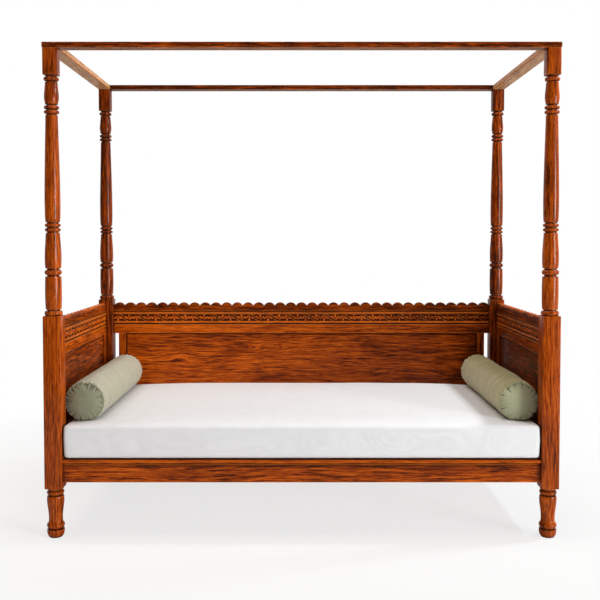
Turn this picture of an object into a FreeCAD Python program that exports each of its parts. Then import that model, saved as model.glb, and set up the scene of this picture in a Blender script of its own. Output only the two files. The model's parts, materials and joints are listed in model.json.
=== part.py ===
"""Four-poster canopy daybed (persian takht): a low wooden seat bed with turned posts,
a panelled back and sides with a scalloped crest, a flat canopy frame, a mattress and
two bolsters.

Millimetres. The origin is on the floor under the middle of the bed, +Z up, and the open
front faces -Y. Every size is a cell of the spreadsheet called sizes, and every sketch,
feature and placement is bound to those cells.
"""

import FreeCAD, Part
import math
import os
import re

import Sketcher

Vector = FreeCAD.Vector

# The driving dimensions: name of the cell, value, what it is
DIMENSIONS = (
    ("bed_width", 2050, "over the outer faces of the posts, along X"),
    ("bed_depth", 1000, "over the outer faces of the posts, along Y"),
    ("post_width", 70, "side of the square block of a leg"),
    ("post_ease", 3, "flat taken off the upright edges of the block"),
    ("foot_height", 199, "turned foot, floor to the square block"),
    ("block_height", 693, "square block of a leg"),
    ("block_chamfer", 4.5, "bevel round the top of the block"),
    ("turning_height", 950, "turned length of an upper post"),
    ("top_block_width", 58, "square block at the head of an upper post"),
    ("top_block_height", 104, "its height"),
    ("top_block_ease", 9.5, "flat taken off its upright edges"),
    ("post_tenon_width", 32, "round tenon under an upper post, diameter"),
    ("post_tenon_length", 60, "its length"),
    ("joint_clearance", 0.2, "gap round a tenon in its hole"),
    ("canopy_width", 60, "canopy board, across"),
    ("canopy_thickness", 22, "canopy board, up"),
    ("canopy_ease", 2, "flat taken off the long edges of a canopy board"),
    ("key_width", 12, "square loose tenon between a post and a canopy board"),
    ("key_length", 30, "half of it in the post, half in the board"),
    ("key_offset", 10, "loose tenon from the middle of the post, along X and along Y"),
    ("rail_gap", 223, "floor to the underside of the bed rails"),
    ("rail_height", 92, "bed rail, with the lip on the front one"),
    ("rail_thickness", 32, "bed rail, across"),
    ("rail_recess", 16, "bed rail behind the outer face of the posts"),
    ("rail_ease", 2, "flat taken off the long edges of rails and boards"),
    ("rail_tenon_length", 22, "tenon of a bed rail in its leg"),
    ("rail_tenon_thickness", 12, "its thickness"),
    ("tenon_shoulder", 8, "shoulder above and below a tenon"),
    ("lip_height", 18, "moulding along the top of the front rail"),
    ("lip_overhang", 12, "its nose in front of the rail"),
    ("lip_cove", 5, "hollow under the nose"),
    ("ledger_height", 30, "strip that carries the slats"),
    ("ledger_thickness", 25, "its thickness"),
    ("slat_width", 90, "slat, along X"),
    ("slat_thickness", 18, "slat, up"),
    ("slat_rise", 3, "top of the slats above the rails"),
    ("slat_margin", 10, "end slats from the legs, and every slat from the rails"),
    ("slat_count", 13, "number of slats"),
    ("corner_block_side", 110, "glue block in the corner of two rails, along each rail"),
    ("corner_block_height", 45, "its height"),
    ("frame_thickness", 28, "frame of a panel, across"),
    ("frame_recess", 10, "frame of a panel behind the outer face of the posts"),
    ("frame_drop", 18, "top of the crest below the top of the leg block"),
    ("crest_height", 43, "crest board to the top of its scallops"),
    ("crest_thickness", 24, "its thickness"),
    ("scallop_depth", 16, "valley of the scallops below their top"),
    ("back_scallop_count", 35, "number of scallops on the back"),
    ("side_scallop_count", 16, "number of scallops on a side"),
    ("fillet_height", 12, "moulding above and below the carved rail"),
    ("fillet_proud", 3, "nose of the moulding in front of the frame"),
    ("carved_height", 44, "carved rail"),
    ("carved_thickness", 26, "its thickness"),
    ("plain_height", 46, "plain rail under the mouldings"),
    ("bottom_rail_height", 70, "lowest rail of a panel frame"),
    ("bottom_rail_gap", 15, "under the lowest rail, above the bed rail"),
    ("frame_tenon_length", 14, "tenon of a frame rail in its leg"),
    ("frame_tenon_thickness", 10, "its thickness"),
    ("back_stile_width", 36, "stile of the back"),
    ("back_stile_inset", 24, "open slot between a back stile and its leg"),
    ("side_stile_width", 45, "stile of a side"),
    ("side_stile_inset", 0, "side stiles stand against the legs"),
    ("panel_thickness", 20, "panel in its frame"),
    ("panel_bevel", 3, "bevel round the field of the panel"),
    ("tongue_thickness", 10, "tongue round the panel and on the ends of the stiles"),
    ("groove_depth", 8, "groove for the tongue"),
    ("groove_shoulder", 6, "groove of a rail ends this far inside the stiles"),
    ("mattress_end_gap", 5, "mattress from the legs at its two ends"),
    ("mattress_back_gap", 7, "mattress from the frame of the back"),
    ("mattress_setback", 9, "its front behind the front of the posts"),
    ("mattress_height", 134, "at its edges"),
    ("mattress_crown", 18, "rise of its middle"),
    ("mattress_top_round", 28, "roundness of its upper edges"),
    ("mattress_bottom_round", 12, "roundness of its lower edges"),
    ("mattress_belly", 5, "its sides bulge by this much"),
    ("soft_clearance", 0.3, "under the mattress and under the bolsters"),
    ("bolster_width", 166, "diameter at the middle"),
    ("bolster_end_gap", 3, "bolster from the legs at its two ends"),
    ("bolster_taper", 5, "smaller at the end seams, in radius"),
    ("bolster_flat", 5, "pressed flat underneath"),
    ("bolster_gap", 20, "from the side panel"),
    ("bolster_dome", 12, "domed end beyond its seam"),
    ("bolster_shoulder", 25, "stretch inside the seam where it swells to its full width"),
)

# Places worked out from the dimensions
POST_X = "((bed_width - post_width) / 2)"
POST_Y = "((bed_depth - post_width) / 2)"
CLEAR_X = "(bed_width - 2 * post_width)"
CLEAR_Y = "(bed_depth - 2 * post_width)"
BLOCK_TOP = "(foot_height + block_height)"
TURNING_TOP = f"({BLOCK_TOP} + turning_height)"
POST_TOP = f"({TURNING_TOP} + top_block_height)"
RAIL_X = "(bed_width / 2 - rail_recess - rail_thickness / 2)"
RAIL_Y = "(bed_depth / 2 - rail_recess - rail_thickness / 2)"
RAIL_SHIFT = "(post_width / 2 - rail_recess - rail_thickness / 2)"
RAIL_TOP = "(rail_gap + rail_height)"
SLAT_TOP = f"({RAIL_TOP} + slat_rise)"
LEDGER_TOP = f"({SLAT_TOP} - slat_thickness)"
FRAME_X = "(bed_width / 2 - frame_recess - frame_thickness / 2)"
FRAME_Y = "(bed_depth / 2 - frame_recess - frame_thickness / 2)"
FRAME_SHIFT = "(post_width / 2 - frame_recess - frame_thickness / 2)"
CREST_TOP = f"({BLOCK_TOP} - frame_drop)"
CREST_BOTTOM = f"({CREST_TOP} - crest_height)"
CARVED_TOP = f"({CREST_BOTTOM} - fillet_height)"
CARVED_BOTTOM = f"({CARVED_TOP} - carved_height)"
PLAIN_TOP = f"({CARVED_BOTTOM} - fillet_height)"
PLAIN_BOTTOM = f"({PLAIN_TOP} - plain_height)"
LOWEST_BOTTOM = f"({RAIL_TOP} + bottom_rail_gap)"
LOWEST_TOP = f"({LOWEST_BOTTOM} + bottom_rail_height)"
MATTRESS_BOTTOM = f"({SLAT_TOP} + soft_clearance)"
MATTRESS_TOP = f"({MATTRESS_BOTTOM} + mattress_height)"
MATTRESS_LENGTH = f"({CLEAR_X} - 2 * mattress_end_gap)"
MATTRESS_BACK = "(bed_depth / 2 - frame_recess - frame_thickness - mattress_back_gap)"
MATTRESS_FRONT = "(mattress_setback - bed_depth / 2)"
BOLSTER_LENGTH = f"({CLEAR_Y} - 2 * bolster_end_gap)"
CANOPY_LENGTH = "(bed_width - post_width + top_block_width)"
CANOPY_DEPTH = "(bed_depth - post_width + top_block_width)"

# The turned foot from the floor up: radius as a share of half the post's width, height as
# a share of the foot's height, and the bulge of the stretch that follows, plus outwards
FOOT_SHARES = (
    (0.75, 0.000, 0.18),
    (0.99, 0.130, 0.00),
    (0.98, 0.165, 0.00),
    (0.88, 0.180, 0.18),
    (0.80, 0.305, 0.00),
    (0.80, 0.400, 0.04),
    (0.93, 0.855, 0.00),
    (0.97, 0.868, 0.00),
    (0.97, 1.000, 0.00),
)

# The turned length of an upper post, written the same way
UPPER_SHARES = (
    (0.92, 0.000, 0.00),
    (0.92, 0.018, 0.00),
    (0.84, 0.027, 0.03),
    (0.905, 0.165, 0.00),
    (0.84, 0.172, 0.00),
    (0.93, 0.180, 0.00),
    (0.93, 0.189, 0.00),
    (0.84, 0.196, 0.05),
    (0.78, 0.345, 0.00),
    (0.86, 0.357, 0.00),
    (0.86, 0.380, 0.00),
    (0.82, 0.387, 0.025),
    (0.68, 0.838, 0.00),
    (0.80, 0.847, 0.00),
    (0.80, 0.871, 0.00),
    (0.70, 0.878, 0.05),
    (0.70, 0.972, 0.00),
    (0.80, 0.984, 0.00),
    (0.80, 1.000, 0.00),
)

# The loft stations of the mattress's rounded ends and of its crowned middle, the share of the
# crown that is left at its very ends, and the least share of the lower rounding
ROUND_TURNS = 2
CROWN_SHARES = (-0.6, 0, 0.6)
LEAST_CROWN = 0.02
LEAST_ROUND = 0.5

# The domed end of a bolster as shares of its radius and of the dome's depth, and the crown
# under it with the least crown and a hundredth of play
DOME_MIDDLE = 0.6
DOME_EDGE = 0.85
DOME_EDGE_DROP = "bolster_dome / 3"
CROWN_UNDER_BOLSTER = 1.03

# Bulges of the lip's round nose and hollow cove, and of a moulding's nose
ROUND_NOSE = 1
HOLLOW_COVE = -0.4

# The slats stop this far short of the rails
SLAT_END_GAP = "slat_margin / 4"

doc = FreeCAD.newDocument("daybed")
sizes = doc.addObject("Spreadsheet::Sheet", "sizes")
finished = []
CELLS = {name for name, number, meaning in DIMENSIONS}


def fill_sheet():
    """One row for each driving dimension: what it is, its name and its value."""
    for row, (name, number, meaning) in enumerate(DIMENSIONS, start=1):
        sizes.set(f"A{row}", meaning)
        sizes.set(f"B{row}", name)
        sizes.set(f"C{row}", str(number))
        sizes.setAlias(f"C{row}", name)
    doc.recompute()


def bound(text):
    """The expression with every dimension's name pointed at its cell."""
    return re.sub(r"[a-z]\w*", lambda word: "sizes." + word[0] if word[0] in CELLS else word[0],
                  str(text))


def value(text):
    """The number that an expression has now."""
    return float(sizes.evalExpression(bound(text)))


def new_body(label, x=0, y=0, z=0, turn=0):
    """A named body at a bound place, turned about +Z by so many degrees."""
    body = doc.addObject("PartDesign::Body", label)
    body.Label = label
    body.Placement.Rotation = FreeCAD.Rotation(Vector(0, 0, 1), turn)
    for axis, place in zip("xyz", (x, y, z)):
        body.setExpression(f"Placement.Base.{axis}", bound(place))
    finished.append(body)
    return body


def origin_plane(body, role):
    """One of the body's own origin planes."""
    for feature in body.Origin.OriginFeatures:
        if feature.Role == role:
            return feature
    raise ValueError(f"{body.Label} has no {role}")


def new_sketch(body, role, lift=0):
    """A sketch on an origin plane, lifted along the plane's normal."""
    sketch = body.newObject("Sketcher::SketchObject", "outline")
    sketch.AttachmentSupport = [(origin_plane(body, role), "")]
    sketch.MapMode = "FlatFace"
    sketch.setExpression("AttachmentOffset.Base.z", bound(lift))
    return sketch


def hold(sketch, rules):
    """Add constraints, each tied to the sheet by the expression beside it, if it has one."""
    numbers = sketch.addConstraint([rule for rule, text in rules])
    for number, (rule, text) in zip(numbers, rules):
        if text is not None:
            sketch.setExpression(f"Constraints[{number}]", bound(text))


def pin(side, end, point):
    """Rules that hold one end or the centre of a side at a bound point."""
    rules = []
    for kind, axis, place in (("DistanceX", -2, point[0]), ("DistanceY", -1, point[1])):
        if place is None:
            continue
        if abs(value(place)) < Part.Precision.confusion():
            rules.append((Sketcher.Constraint("PointOnObject", side, end, axis), None))
        else:
            rules.append((Sketcher.Constraint(kind, -1, 1, side, end, value(place)), place))
    return rules


def arc_side(first, last, bulge):
    """The arc from one bound point to the next that rises bulge times half its chord,
    which of its ends comes first, and the point that its centre is held at."""
    x_run = f"(({last[0]}) - ({first[0]}))"
    y_run = f"(({last[1]}) - ({first[1]}))"
    steep = f"(1 - abs({bulge}) ^ 2) / (4 * ({bulge}))"
    centre = (f"({first[0]}) + {x_run} / 2 - {y_run} * {steep}",
              f"({first[1]}) + {y_run} / 2 + {x_run} * {steep}")
    middle = Vector(value(centre[0]), value(centre[1]), 0)
    start, stop = (first, last) if value(bulge) > 0 else (last, first)
    begin, finish = (math.atan2(value(y) - middle.y, value(x) - middle.x) for x, y in (start, stop))
    if finish < begin:
        finish += math.radians(360)
    radius = math.hypot(value(first[0]) - middle.x, value(first[1]) - middle.y)
    arc = Part.ArcOfCircle(Part.Circle(middle, Vector(0, 0, 1), radius), begin, finish)
    upright = abs(value(y_run)) > abs(value(x_run))
    held = (centre[0], None) if upright else (None, centre[1])
    return arc, value(bulge) > 0, held


def draw_loop(sketch, points):
    """Draw a closed outline. A point is (x, y) or (x, y, bulge of the side after it)."""
    corners = [(point[0], point[1]) for point in points]
    drawn = sketch.GeometryCount
    sides, ends, rules = [], [], []
    for index, point in enumerate(points):
        after = corners[(index + 1) % len(points)]
        bulge = point[2] if len(point) > 2 else 0
        if bulge:
            side, forward, centre = arc_side(corners[index], after, bulge)
            ends.append((1, 2) if forward else (2, 1))
            rules += pin(drawn + index, 3, centre)
        else:
            side = Part.LineSegment(*(Vector(value(x), value(y), 0) for x, y in (corners[index], after)))
            ends.append((1, 2))
        sides.append(side)
    for index, (begin, finish) in enumerate(ends):
        after = (index + 1) % len(ends)
        meet = Sketcher.Constraint("Coincident", drawn + index, finish, drawn + after, ends[after][0])
        rules.append((meet, None))
        rules += pin(drawn + index, begin, corners[index])
    sketch.addGeometry(sides, False)
    hold(sketch, rules)
    return sketch


def eased_rectangle(left, right, low, high, ease):
    """A rectangle with its four corners cut off."""
    return ((f"{left} + {ease}", low), (f"{right} - {ease}", low),
            (right, f"{low} + {ease}"), (right, f"{high} - {ease}"),
            (f"{right} - {ease}", high), (f"{left} + {ease}", high),
            (left, f"{high} - {ease}"), (left, f"{low} + {ease}"))


def rectangle(left, right, low, high):
    """A plain rectangle."""
    return ((left, low), (right, low), (right, high), (left, high))


def square(x, y, side):
    """A square round a middle."""
    return rectangle(f"{x} - ({side}) / 2", f"{x} + ({side}) / 2",
                     f"{y} - ({side}) / 2", f"{y} + ({side}) / 2")


def centred(width):
    """The two ends of a width about zero."""
    return f"-({width}) / 2", f"({width}) / 2"


def pad(body, sketch, length, both_ways=False):
    """Pad a sketch along its normal, or half the length to each side."""
    feature = body.newObject("PartDesign::Pad", "pad")
    feature.Profile = sketch
    feature.SideType = "Symmetric" if both_ways else "One side"
    feature.setExpression("Length", bound(length))
    return feature


def pocket(body, sketch, depth, along_normal=False):
    """Cut a sketch into the solid, against its normal unless told otherwise."""
    feature = body.newObject("PartDesign::Pocket", "pocket")
    feature.Profile = sketch
    feature.Reversed = along_normal
    feature.setExpression("Length", bound(depth))


def draw_circle(sketch, x, y, radius):
    """A circle at a bound place."""
    circle = Part.Circle(Vector(value(x), value(y), 0), Vector(0, 0, 1), value(radius))
    side = sketch.addGeometry(circle, False)
    hold(sketch, [(Sketcher.Constraint("Radius", side, value(radius)), radius),
                  *pin(side, 3, (x, y))])
    return sketch


def revolve(body, role, points):
    """Turn an outline on an origin plane about the plane's second axis."""
    sketch = draw_loop(new_sketch(body, role), points)
    feature = body.newObject("PartDesign::Revolution", "turning")
    feature.Profile = sketch
    feature.ReferenceAxis = (sketch, ["V_Axis"])
    feature.Angle = 360


def turned_outline(shares, bottom, height):
    """Half the section of a turning whose table is in shares of its width and height."""
    points = [("0", bottom)]
    for radius_share, height_share, bulge in shares:
        points.append((f"{radius_share} * post_width / 2",
                       f"{bottom} + {height_share} * {height}", bulge))
    points.append(("0", f"{bottom} + {height}"))
    return points


def bevel_top(body, feature, size):
    """Bevel every edge round the highest flat face of the body."""
    doc.recompute()
    faces = feature.Shape.Faces
    best = max(range(len(faces)), key=lambda index: faces[index].CenterOfMass.z)
    bevel = body.newObject("PartDesign::Chamfer", "bevel")
    bevel.Base = (feature, [f"Face{best + 1}"])
    bevel.setExpression("Size", bound(size))


def mirror_to_corners(body, feature):
    """Repeat a feature at all four corners of the bed."""
    doc.recompute()
    repeat = body.newObject("PartDesign::MultiTransform", "four_corners")
    repeat.Originals = [feature]
    steps = []
    for role in ("YZ_Plane", "XZ_Plane"):
        step = body.newObject("PartDesign::Mirrored", "mirrored")
        step.MirrorPlane = (origin_plane(body, role), [""])
        steps.append(step)
    repeat.Transformations = steps
    body.Tip = repeat


# Mortises of the legs: low end, high end, middle from the post's axis, thickness, depth
RAIL_MORTISE = ("rail_gap + tenon_shoulder", f"{RAIL_TOP} - lip_height - tenon_shoulder",
                RAIL_SHIFT, "rail_tenon_thickness", "rail_tenon_length")
FRAME_MORTISES = tuple(
    (f"{low} + tenon_shoulder", f"{high} - tenon_shoulder",
     FRAME_SHIFT, "frame_tenon_thickness", "frame_tenon_length")
    for low, high in ((LOWEST_BOTTOM, LOWEST_TOP), (PLAIN_BOTTOM, PLAIN_TOP),
                      (CARVED_BOTTOM, CARVED_TOP)))


def mortise(body, role, low, high, shift, thickness, depth):
    """Cut one mortise into the inner face that the origin plane's role names."""
    room = "joint_clearance"
    faces_x = role == "YZ_Plane"
    lift = "post_width / 2" if faces_x else "-post_width / 2"
    sketch = new_sketch(body, role, lift)
    side = rectangle(f"-{shift} - {thickness} / 2 - {room}", f"-{shift} + {thickness} / 2 + {room}",
                     f"{low} - {room}", f"{high} + {room}")
    draw_loop(sketch, side)
    pocket(body, sketch, f"{depth} + {room}", along_normal=not faces_x)


def leg(label, x, y, turn, frame_on_x, frame_on_y):
    """Turned foot and square block, with the mortises of the rails that meet it.

    Before it is turned to its corner, the leg's outer corner points to -X and -Y.
    """
    body = new_body(label, x, y, 0, turn)
    revolve(body, "XZ_Plane", turned_outline(FOOT_SHARES, "0", "foot_height"))
    left, right = centred("post_width")
    section = eased_rectangle(left, right, left, right, "post_ease")
    block = pad(body, draw_loop(new_sketch(body, "XY_Plane", "foot_height"), section), "block_height")
    bevel_top(body, block, "block_chamfer")
    for role, has_frame in (("YZ_Plane", frame_on_x), ("XZ_Plane", frame_on_y)):
        mortise(body, role, *RAIL_MORTISE)
        for frame_mortise in FRAME_MORTISES if has_frame else ():
            mortise(body, role, *frame_mortise)
    bore = draw_circle(new_sketch(body, "XY_Plane", BLOCK_TOP), "0", "0",
                       "post_tenon_width / 2 + joint_clearance")
    pocket(body, bore, "post_tenon_length + joint_clearance")


def upper_post(label, x, y, turn):
    """Turned shaft with a round tenon below and a square block with two mortises above."""
    body = new_body(label, x, y, 0, turn)
    revolve(body, "XZ_Plane", turned_outline(UPPER_SHARES, BLOCK_TOP, "turning_height"))
    tenon = draw_circle(new_sketch(body, "XY_Plane", f"{BLOCK_TOP} - post_tenon_length"),
                        "0", "0", "post_tenon_width / 2")
    pad(body, tenon, "post_tenon_length")
    left, right = centred("top_block_width")
    section = eased_rectangle(left, right, left, right, "top_block_ease")
    pad(body, draw_loop(new_sketch(body, "XY_Plane", TURNING_TOP), section), "top_block_height")
    mortises = new_sketch(body, "XY_Plane", POST_TOP)
    for x_sign, y_sign in (("", "-"), ("-", "")):
        draw_loop(mortises, square(f"{x_sign}key_offset", f"{y_sign}key_offset",
                                   "key_width + 2 * joint_clearance"))
    pocket(body, mortises, "key_length / 2 + joint_clearance")


def canopy_board(label, length, x, y, turn):
    """Mitred board of the canopy frame. Before it is turned, its outer edge faces -Y."""
    body = new_body(label, x, y, POST_TOP, turn)
    half = f"({length}) / 2"
    section = new_sketch(body, "YZ_Plane")
    draw_loop(section, eased_rectangle("0", "canopy_width", "0", "canopy_thickness", "canopy_ease"))
    pad(body, section, length, both_ways=True)
    for sign in ("-", ""):
        corner = draw_loop(new_sketch(body, "XY_Plane", "canopy_thickness"), (
            (f"{sign}{half}", "0"), (f"{sign}{half}", "canopy_width"),
            (f"{sign}({half} - canopy_width)", "canopy_width")))
        pocket(body, corner, "canopy_thickness")
    mortises = new_sketch(body, "XY_Plane")
    for sign in ("-", ""):
        draw_loop(mortises, square(f"{sign}({half} - top_block_width / 2 - key_offset)",
                                   "top_block_width / 2 - key_offset", "key_width + 2 * joint_clearance"))
    pocket(body, mortises, "key_length / 2 + joint_clearance", along_normal=True)


def canopy_keys():
    """Two loose tenons from the head of each post into the two boards that meet on it."""
    body = new_body("canopy_keys")
    sketch = new_sketch(body, "XY_Plane", f"{POST_TOP} - key_length / 2")
    for x_sign, y_sign in (("+", "-"), ("-", "+")):
        draw_loop(sketch, square(f"-{POST_X} {x_sign} key_offset", f"-{POST_Y} {y_sign} key_offset",
                                 "key_width"))
    mirror_to_corners(body, pad(body, sketch, "key_length"))


def board(label, length, section, x=0, y=0, z=0, turn=0):
    """A board whose section is drawn across its length."""
    body = new_body(label, x, y, z, turn)
    pad(body, draw_loop(new_sketch(body, "YZ_Plane"), section), length, both_ways=True)
    return body


def add_tenons(body, length, low, high, thickness, reach):
    """Tenons on both ends of a board, as one bar through it."""
    left, right = centred(thickness)
    section = rectangle(left, right, f"{low} + tenon_shoulder", f"{high} - tenon_shoulder")
    bar = draw_loop(new_sketch(body, "YZ_Plane"), section)
    pad(body, bar, f"{length} + 2 * {reach}", both_ways=True)


def bed_rail(label, length, top, x, y, turn):
    """Bed rail between two legs, tenoned into them."""
    left, right = centred("rail_thickness")
    body = board(label, length, eased_rectangle(left, right, "rail_gap", top, "rail_ease"), x, y, 0, turn)
    low_top = f"{RAIL_TOP} - lip_height"
    add_tenons(body, length, "rail_gap", low_top, "rail_tenon_thickness", "rail_tenon_length")


def front_lip():
    """Moulding along the top of the front rail: a round nose over a small cove."""
    nose = "(-rail_thickness / 2 - lip_overhang)"
    under = f"({RAIL_TOP} - lip_height)"
    roundness = "((lip_height - lip_cove) / 2)"
    board("front_rail_lip", CLEAR_X, (
        ("rail_thickness / 2", under), ("rail_thickness / 2", RAIL_TOP),
        (f"{nose} + {roundness}", RAIL_TOP, ROUND_NOSE),
        (f"{nose} + {roundness}", f"{under} + lip_cove", HOLLOW_COVE),
        ("-rail_thickness / 2", under)), y=f"-{RAIL_Y}")


def ledger(label, y):
    """Strip along the inside of a long rail, under the ends of the slats."""
    left, right = centred("ledger_thickness")
    board(label, CLEAR_X, rectangle(left, right, f"{LEDGER_TOP} - ledger_height", LEDGER_TOP), y=y)


def slats():
    """Row of slats from the front ledger to the back ledger."""
    body = new_body("slats", z=LEDGER_TOP)
    first = f"(-{CLEAR_X} / 2 + slat_margin)"
    reach = f"({RAIL_Y} - rail_thickness / 2 - {SLAT_END_GAP})"
    sketch = new_sketch(body, "XY_Plane")
    draw_loop(sketch, rectangle(first, f"{first} + slat_width", f"-{reach}", reach))
    slat = pad(body, sketch, "slat_thickness")
    doc.recompute()
    row = body.newObject("PartDesign::LinearPattern", "row")
    row.Originals = [slat]
    row.Direction = (sketch, ["H_Axis"])
    row.setExpression("Length", bound(f"{CLEAR_X} - 2 * slat_margin - slat_width"))
    row.setExpression("Occurrences", bound("slat_count"))
    body.Tip = row


def corner_blocks():
    """Glue blocks that brace each pair of rails round the inner corner of its leg."""
    body = new_body("corner_blocks", z="rail_gap")
    inner_x = f"(-{RAIL_X} + rail_thickness / 2)"
    inner_y = f"(-{RAIL_Y} + rail_thickness / 2)"
    leg_x = f"(-{CLEAR_X} / 2)"
    leg_y = f"(-{CLEAR_Y} / 2)"
    sketch = draw_loop(new_sketch(body, "XY_Plane"), (
        (leg_x, inner_y), (f"{inner_x} + corner_block_side", inner_y),
        (inner_x, f"{inner_y} + corner_block_side"), (inner_x, leg_y), (leg_x, leg_y)))
    mirror_to_corners(body, pad(body, sketch, "corner_block_height"))


def crest(label, length, count, place):
    """Crest board with a row of round scallops that meet in sharp valleys."""
    left, right = centred("crest_thickness")
    valley = f"({CREST_TOP} - scallop_depth)"
    body = board(label, length, rectangle(left, right, CREST_BOTTOM, valley), **place)
    first = f"(-({length}) / 2)"
    pitch = f"(({length}) / {count})"
    sketch = new_sketch(body, "XZ_Plane")
    round_top = (f"{first} + {pitch}", valley, f"2 * scallop_depth / {pitch}")
    draw_loop(sketch, ((first, valley), round_top))
    scallop = pad(body, sketch, "crest_thickness", both_ways=True)
    doc.recompute()
    row = body.newObject("PartDesign::LinearPattern", "row")
    row.Originals = [scallop]
    row.Direction = (sketch, ["H_Axis"])
    row.setExpression("Length", bound(f"{length} - {pitch}"))
    row.setExpression("Occurrences", bound(count))
    body.Tip = row


def fillet_strip(label, length, low, place):
    """Moulding with a round nose on both faces."""
    half = "frame_thickness / 2 + fillet_proud - fillet_height / 2"
    high = f"{low} + fillet_height"
    board(label, length, ((f"-({half})", high, ROUND_NOSE), (f"-({half})", low),
                          (half, low, ROUND_NOSE), (half, high)), **place)


def frame_rail(label, length, thickness, low, high, place):
    """Rail of a panel frame, tenoned into two legs."""
    left, right = centred(thickness)
    body = board(label, length, eased_rectangle(left, right, low, high, "rail_ease"), **place)
    add_tenons(body, length, low, high, "frame_tenon_thickness", "frame_tenon_length")
    return body


def cut_groove(body, length, edge, upward):
    """Stopped groove for the panel's tongue in the lower or upper edge of a rail."""
    left, right = centred("tongue_thickness + 2 * joint_clearance")
    start, stop = centred(f"{length} - 2 * groove_shoulder")
    sketch = draw_loop(new_sketch(body, "XY_Plane", edge), rectangle(start, stop, left, right))
    pocket(body, sketch, "groove_depth + joint_clearance", along_normal=upward)


def stile(label, width, outer, outer_sign, place):
    """Upright of a panel frame: grooved on its inner edge, tongued at both ends."""
    body = new_body(label, **place)
    inner = f"({outer} - {width})"
    floor = f"({inner} + groove_depth + joint_clearance)"
    half = "(frame_thickness / 2)"
    slot = "(tongue_thickness / 2 + joint_clearance)"
    profile = ((outer, f"-{half}"), (outer, half), (inner, half), (inner, slot), (floor, slot),
               (floor, f"-{slot}"), (inner, f"-{slot}"), (inner, f"-{half}"))
    section = draw_loop(new_sketch(body, "XY_Plane", LOWEST_TOP),
                        [(f"{outer_sign}({x})", y) for x, y in profile])
    pad(body, section, f"{PLAIN_BOTTOM} - {LOWEST_TOP}")
    left, right = centred("tongue_thickness")
    tongue = rectangle(f"{outer_sign}({outer} - groove_shoulder - joint_clearance)",
                       f"{outer_sign}({floor})", left, right)
    bar = draw_loop(new_sketch(body, "XY_Plane", f"{LOWEST_TOP} - groove_depth"), tongue)
    pad(body, bar, f"{PLAIN_BOTTOM} - {LOWEST_TOP} + 2 * groove_depth")


def panel(label, length, place):
    """Field of the panel with a bevelled edge, on a board whose tongue fills the grooves."""
    body = new_body(label, **place)
    left, right = centred(length)
    field = draw_loop(new_sketch(body, "XZ_Plane"),
                      rectangle(left, right, LOWEST_TOP, PLAIN_BOTTOM))
    slab = pad(body, field, "panel_thickness", both_ways=True)
    doc.recompute()
    faces = slab.Shape.Faces
    order = sorted(range(len(faces)), key=lambda index: faces[index].Area)
    bevel = body.newObject("PartDesign::Chamfer", "bevel")
    bevel.Base = (slab, [f"Face{index + 1}" for index in order[-2:]])
    bevel.setExpression("Size", bound("panel_bevel"))
    near, far = centred("tongue_thickness")
    tongue = rectangle(near, far, f"{LOWEST_TOP} - groove_depth", f"{PLAIN_BOTTOM} + groove_depth")
    bar = draw_loop(new_sketch(body, "YZ_Plane"), tongue)
    pad(body, bar, f"{length} + 2 * groove_depth", both_ways=True)


def panel_frame(prefix, clear, inset, stile_width, count, stile_names, place):
    """Whole back or side: crest, mouldings, carved rail, plain rail, stiles, panel, low rail."""
    crest(f"{prefix}_crest", clear, count, place)
    fillet_strip(f"{prefix}_upper_fillet", clear, CARVED_TOP, place)
    frame_rail(f"{prefix}_carved_rail", clear, "carved_thickness", CARVED_BOTTOM, CARVED_TOP, place)
    fillet_strip(f"{prefix}_lower_fillet", clear, PLAIN_TOP, place)
    between = f"({clear} - 2 * {inset})"
    plain = frame_rail(f"{prefix}_plain_rail", clear, "frame_thickness", PLAIN_BOTTOM, PLAIN_TOP, place)
    cut_groove(plain, between, PLAIN_BOTTOM, upward=True)
    lowest = frame_rail(f"{prefix}_bottom_rail", clear, "frame_thickness", LOWEST_BOTTOM, LOWEST_TOP,
                        place)
    cut_groove(lowest, between, LOWEST_TOP, upward=False)
    for name, sign in zip(stile_names, ("-", "")):
        stile(f"{prefix}_{name}_stile", stile_width, f"({between} / 2)", sign, place)
    panel(f"{prefix}_panel", f"({between} - 2 * {stile_width})", place)


def mattress_section(x, inset, crown):
    """Closed section of the mattress at x, drawn in by inset, with so high a crown."""
    least = value("mattress_bottom_round") * LEAST_ROUND
    top_round = max(value("mattress_top_round") - inset, least)
    low_round = max(value("mattress_bottom_round") - inset / 2, least)
    side = value(f"{MATTRESS_BACK} - {MATTRESS_FRONT}") / 2 - inset - value("mattress_belly")
    bulge = side + value("mattress_belly")
    low = inset / 2
    high = value("mattress_height") - inset
    corner = 1 - math.sqrt(0.5)
    right = (
        ((side - low_round, low), (side - low_round * corner, low + low_round * corner),
         (side, low + low_round)),
        ((side, low + low_round), (bulge, (low + high) / 2), (side, high - top_round)),
        ((side, high - top_round), (side - top_round * corner, high - top_round * corner),
         (side - top_round, high)),
    )
    over = ((side - top_round, high), (0, high + crown), (top_round - side, high))
    left = [[(-y, z) for y, z in reversed(arc)] for arc in reversed(right)]
    edges = []
    for arc in (*right, over, *left):
        edges.append(Part.Arc(*(Vector(x, y, z) for y, z in arc)).toShape())
    edges.append(Part.LineSegment(edges[-1].Vertexes[-1].Point, edges[0].Vertexes[0].Point).toShape())
    return Part.Wire(edges)


def least_crown():
    """The rise left at the very ends, so that the top stays a curve there."""
    return value("mattress_crown") * LEAST_CROWN


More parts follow.
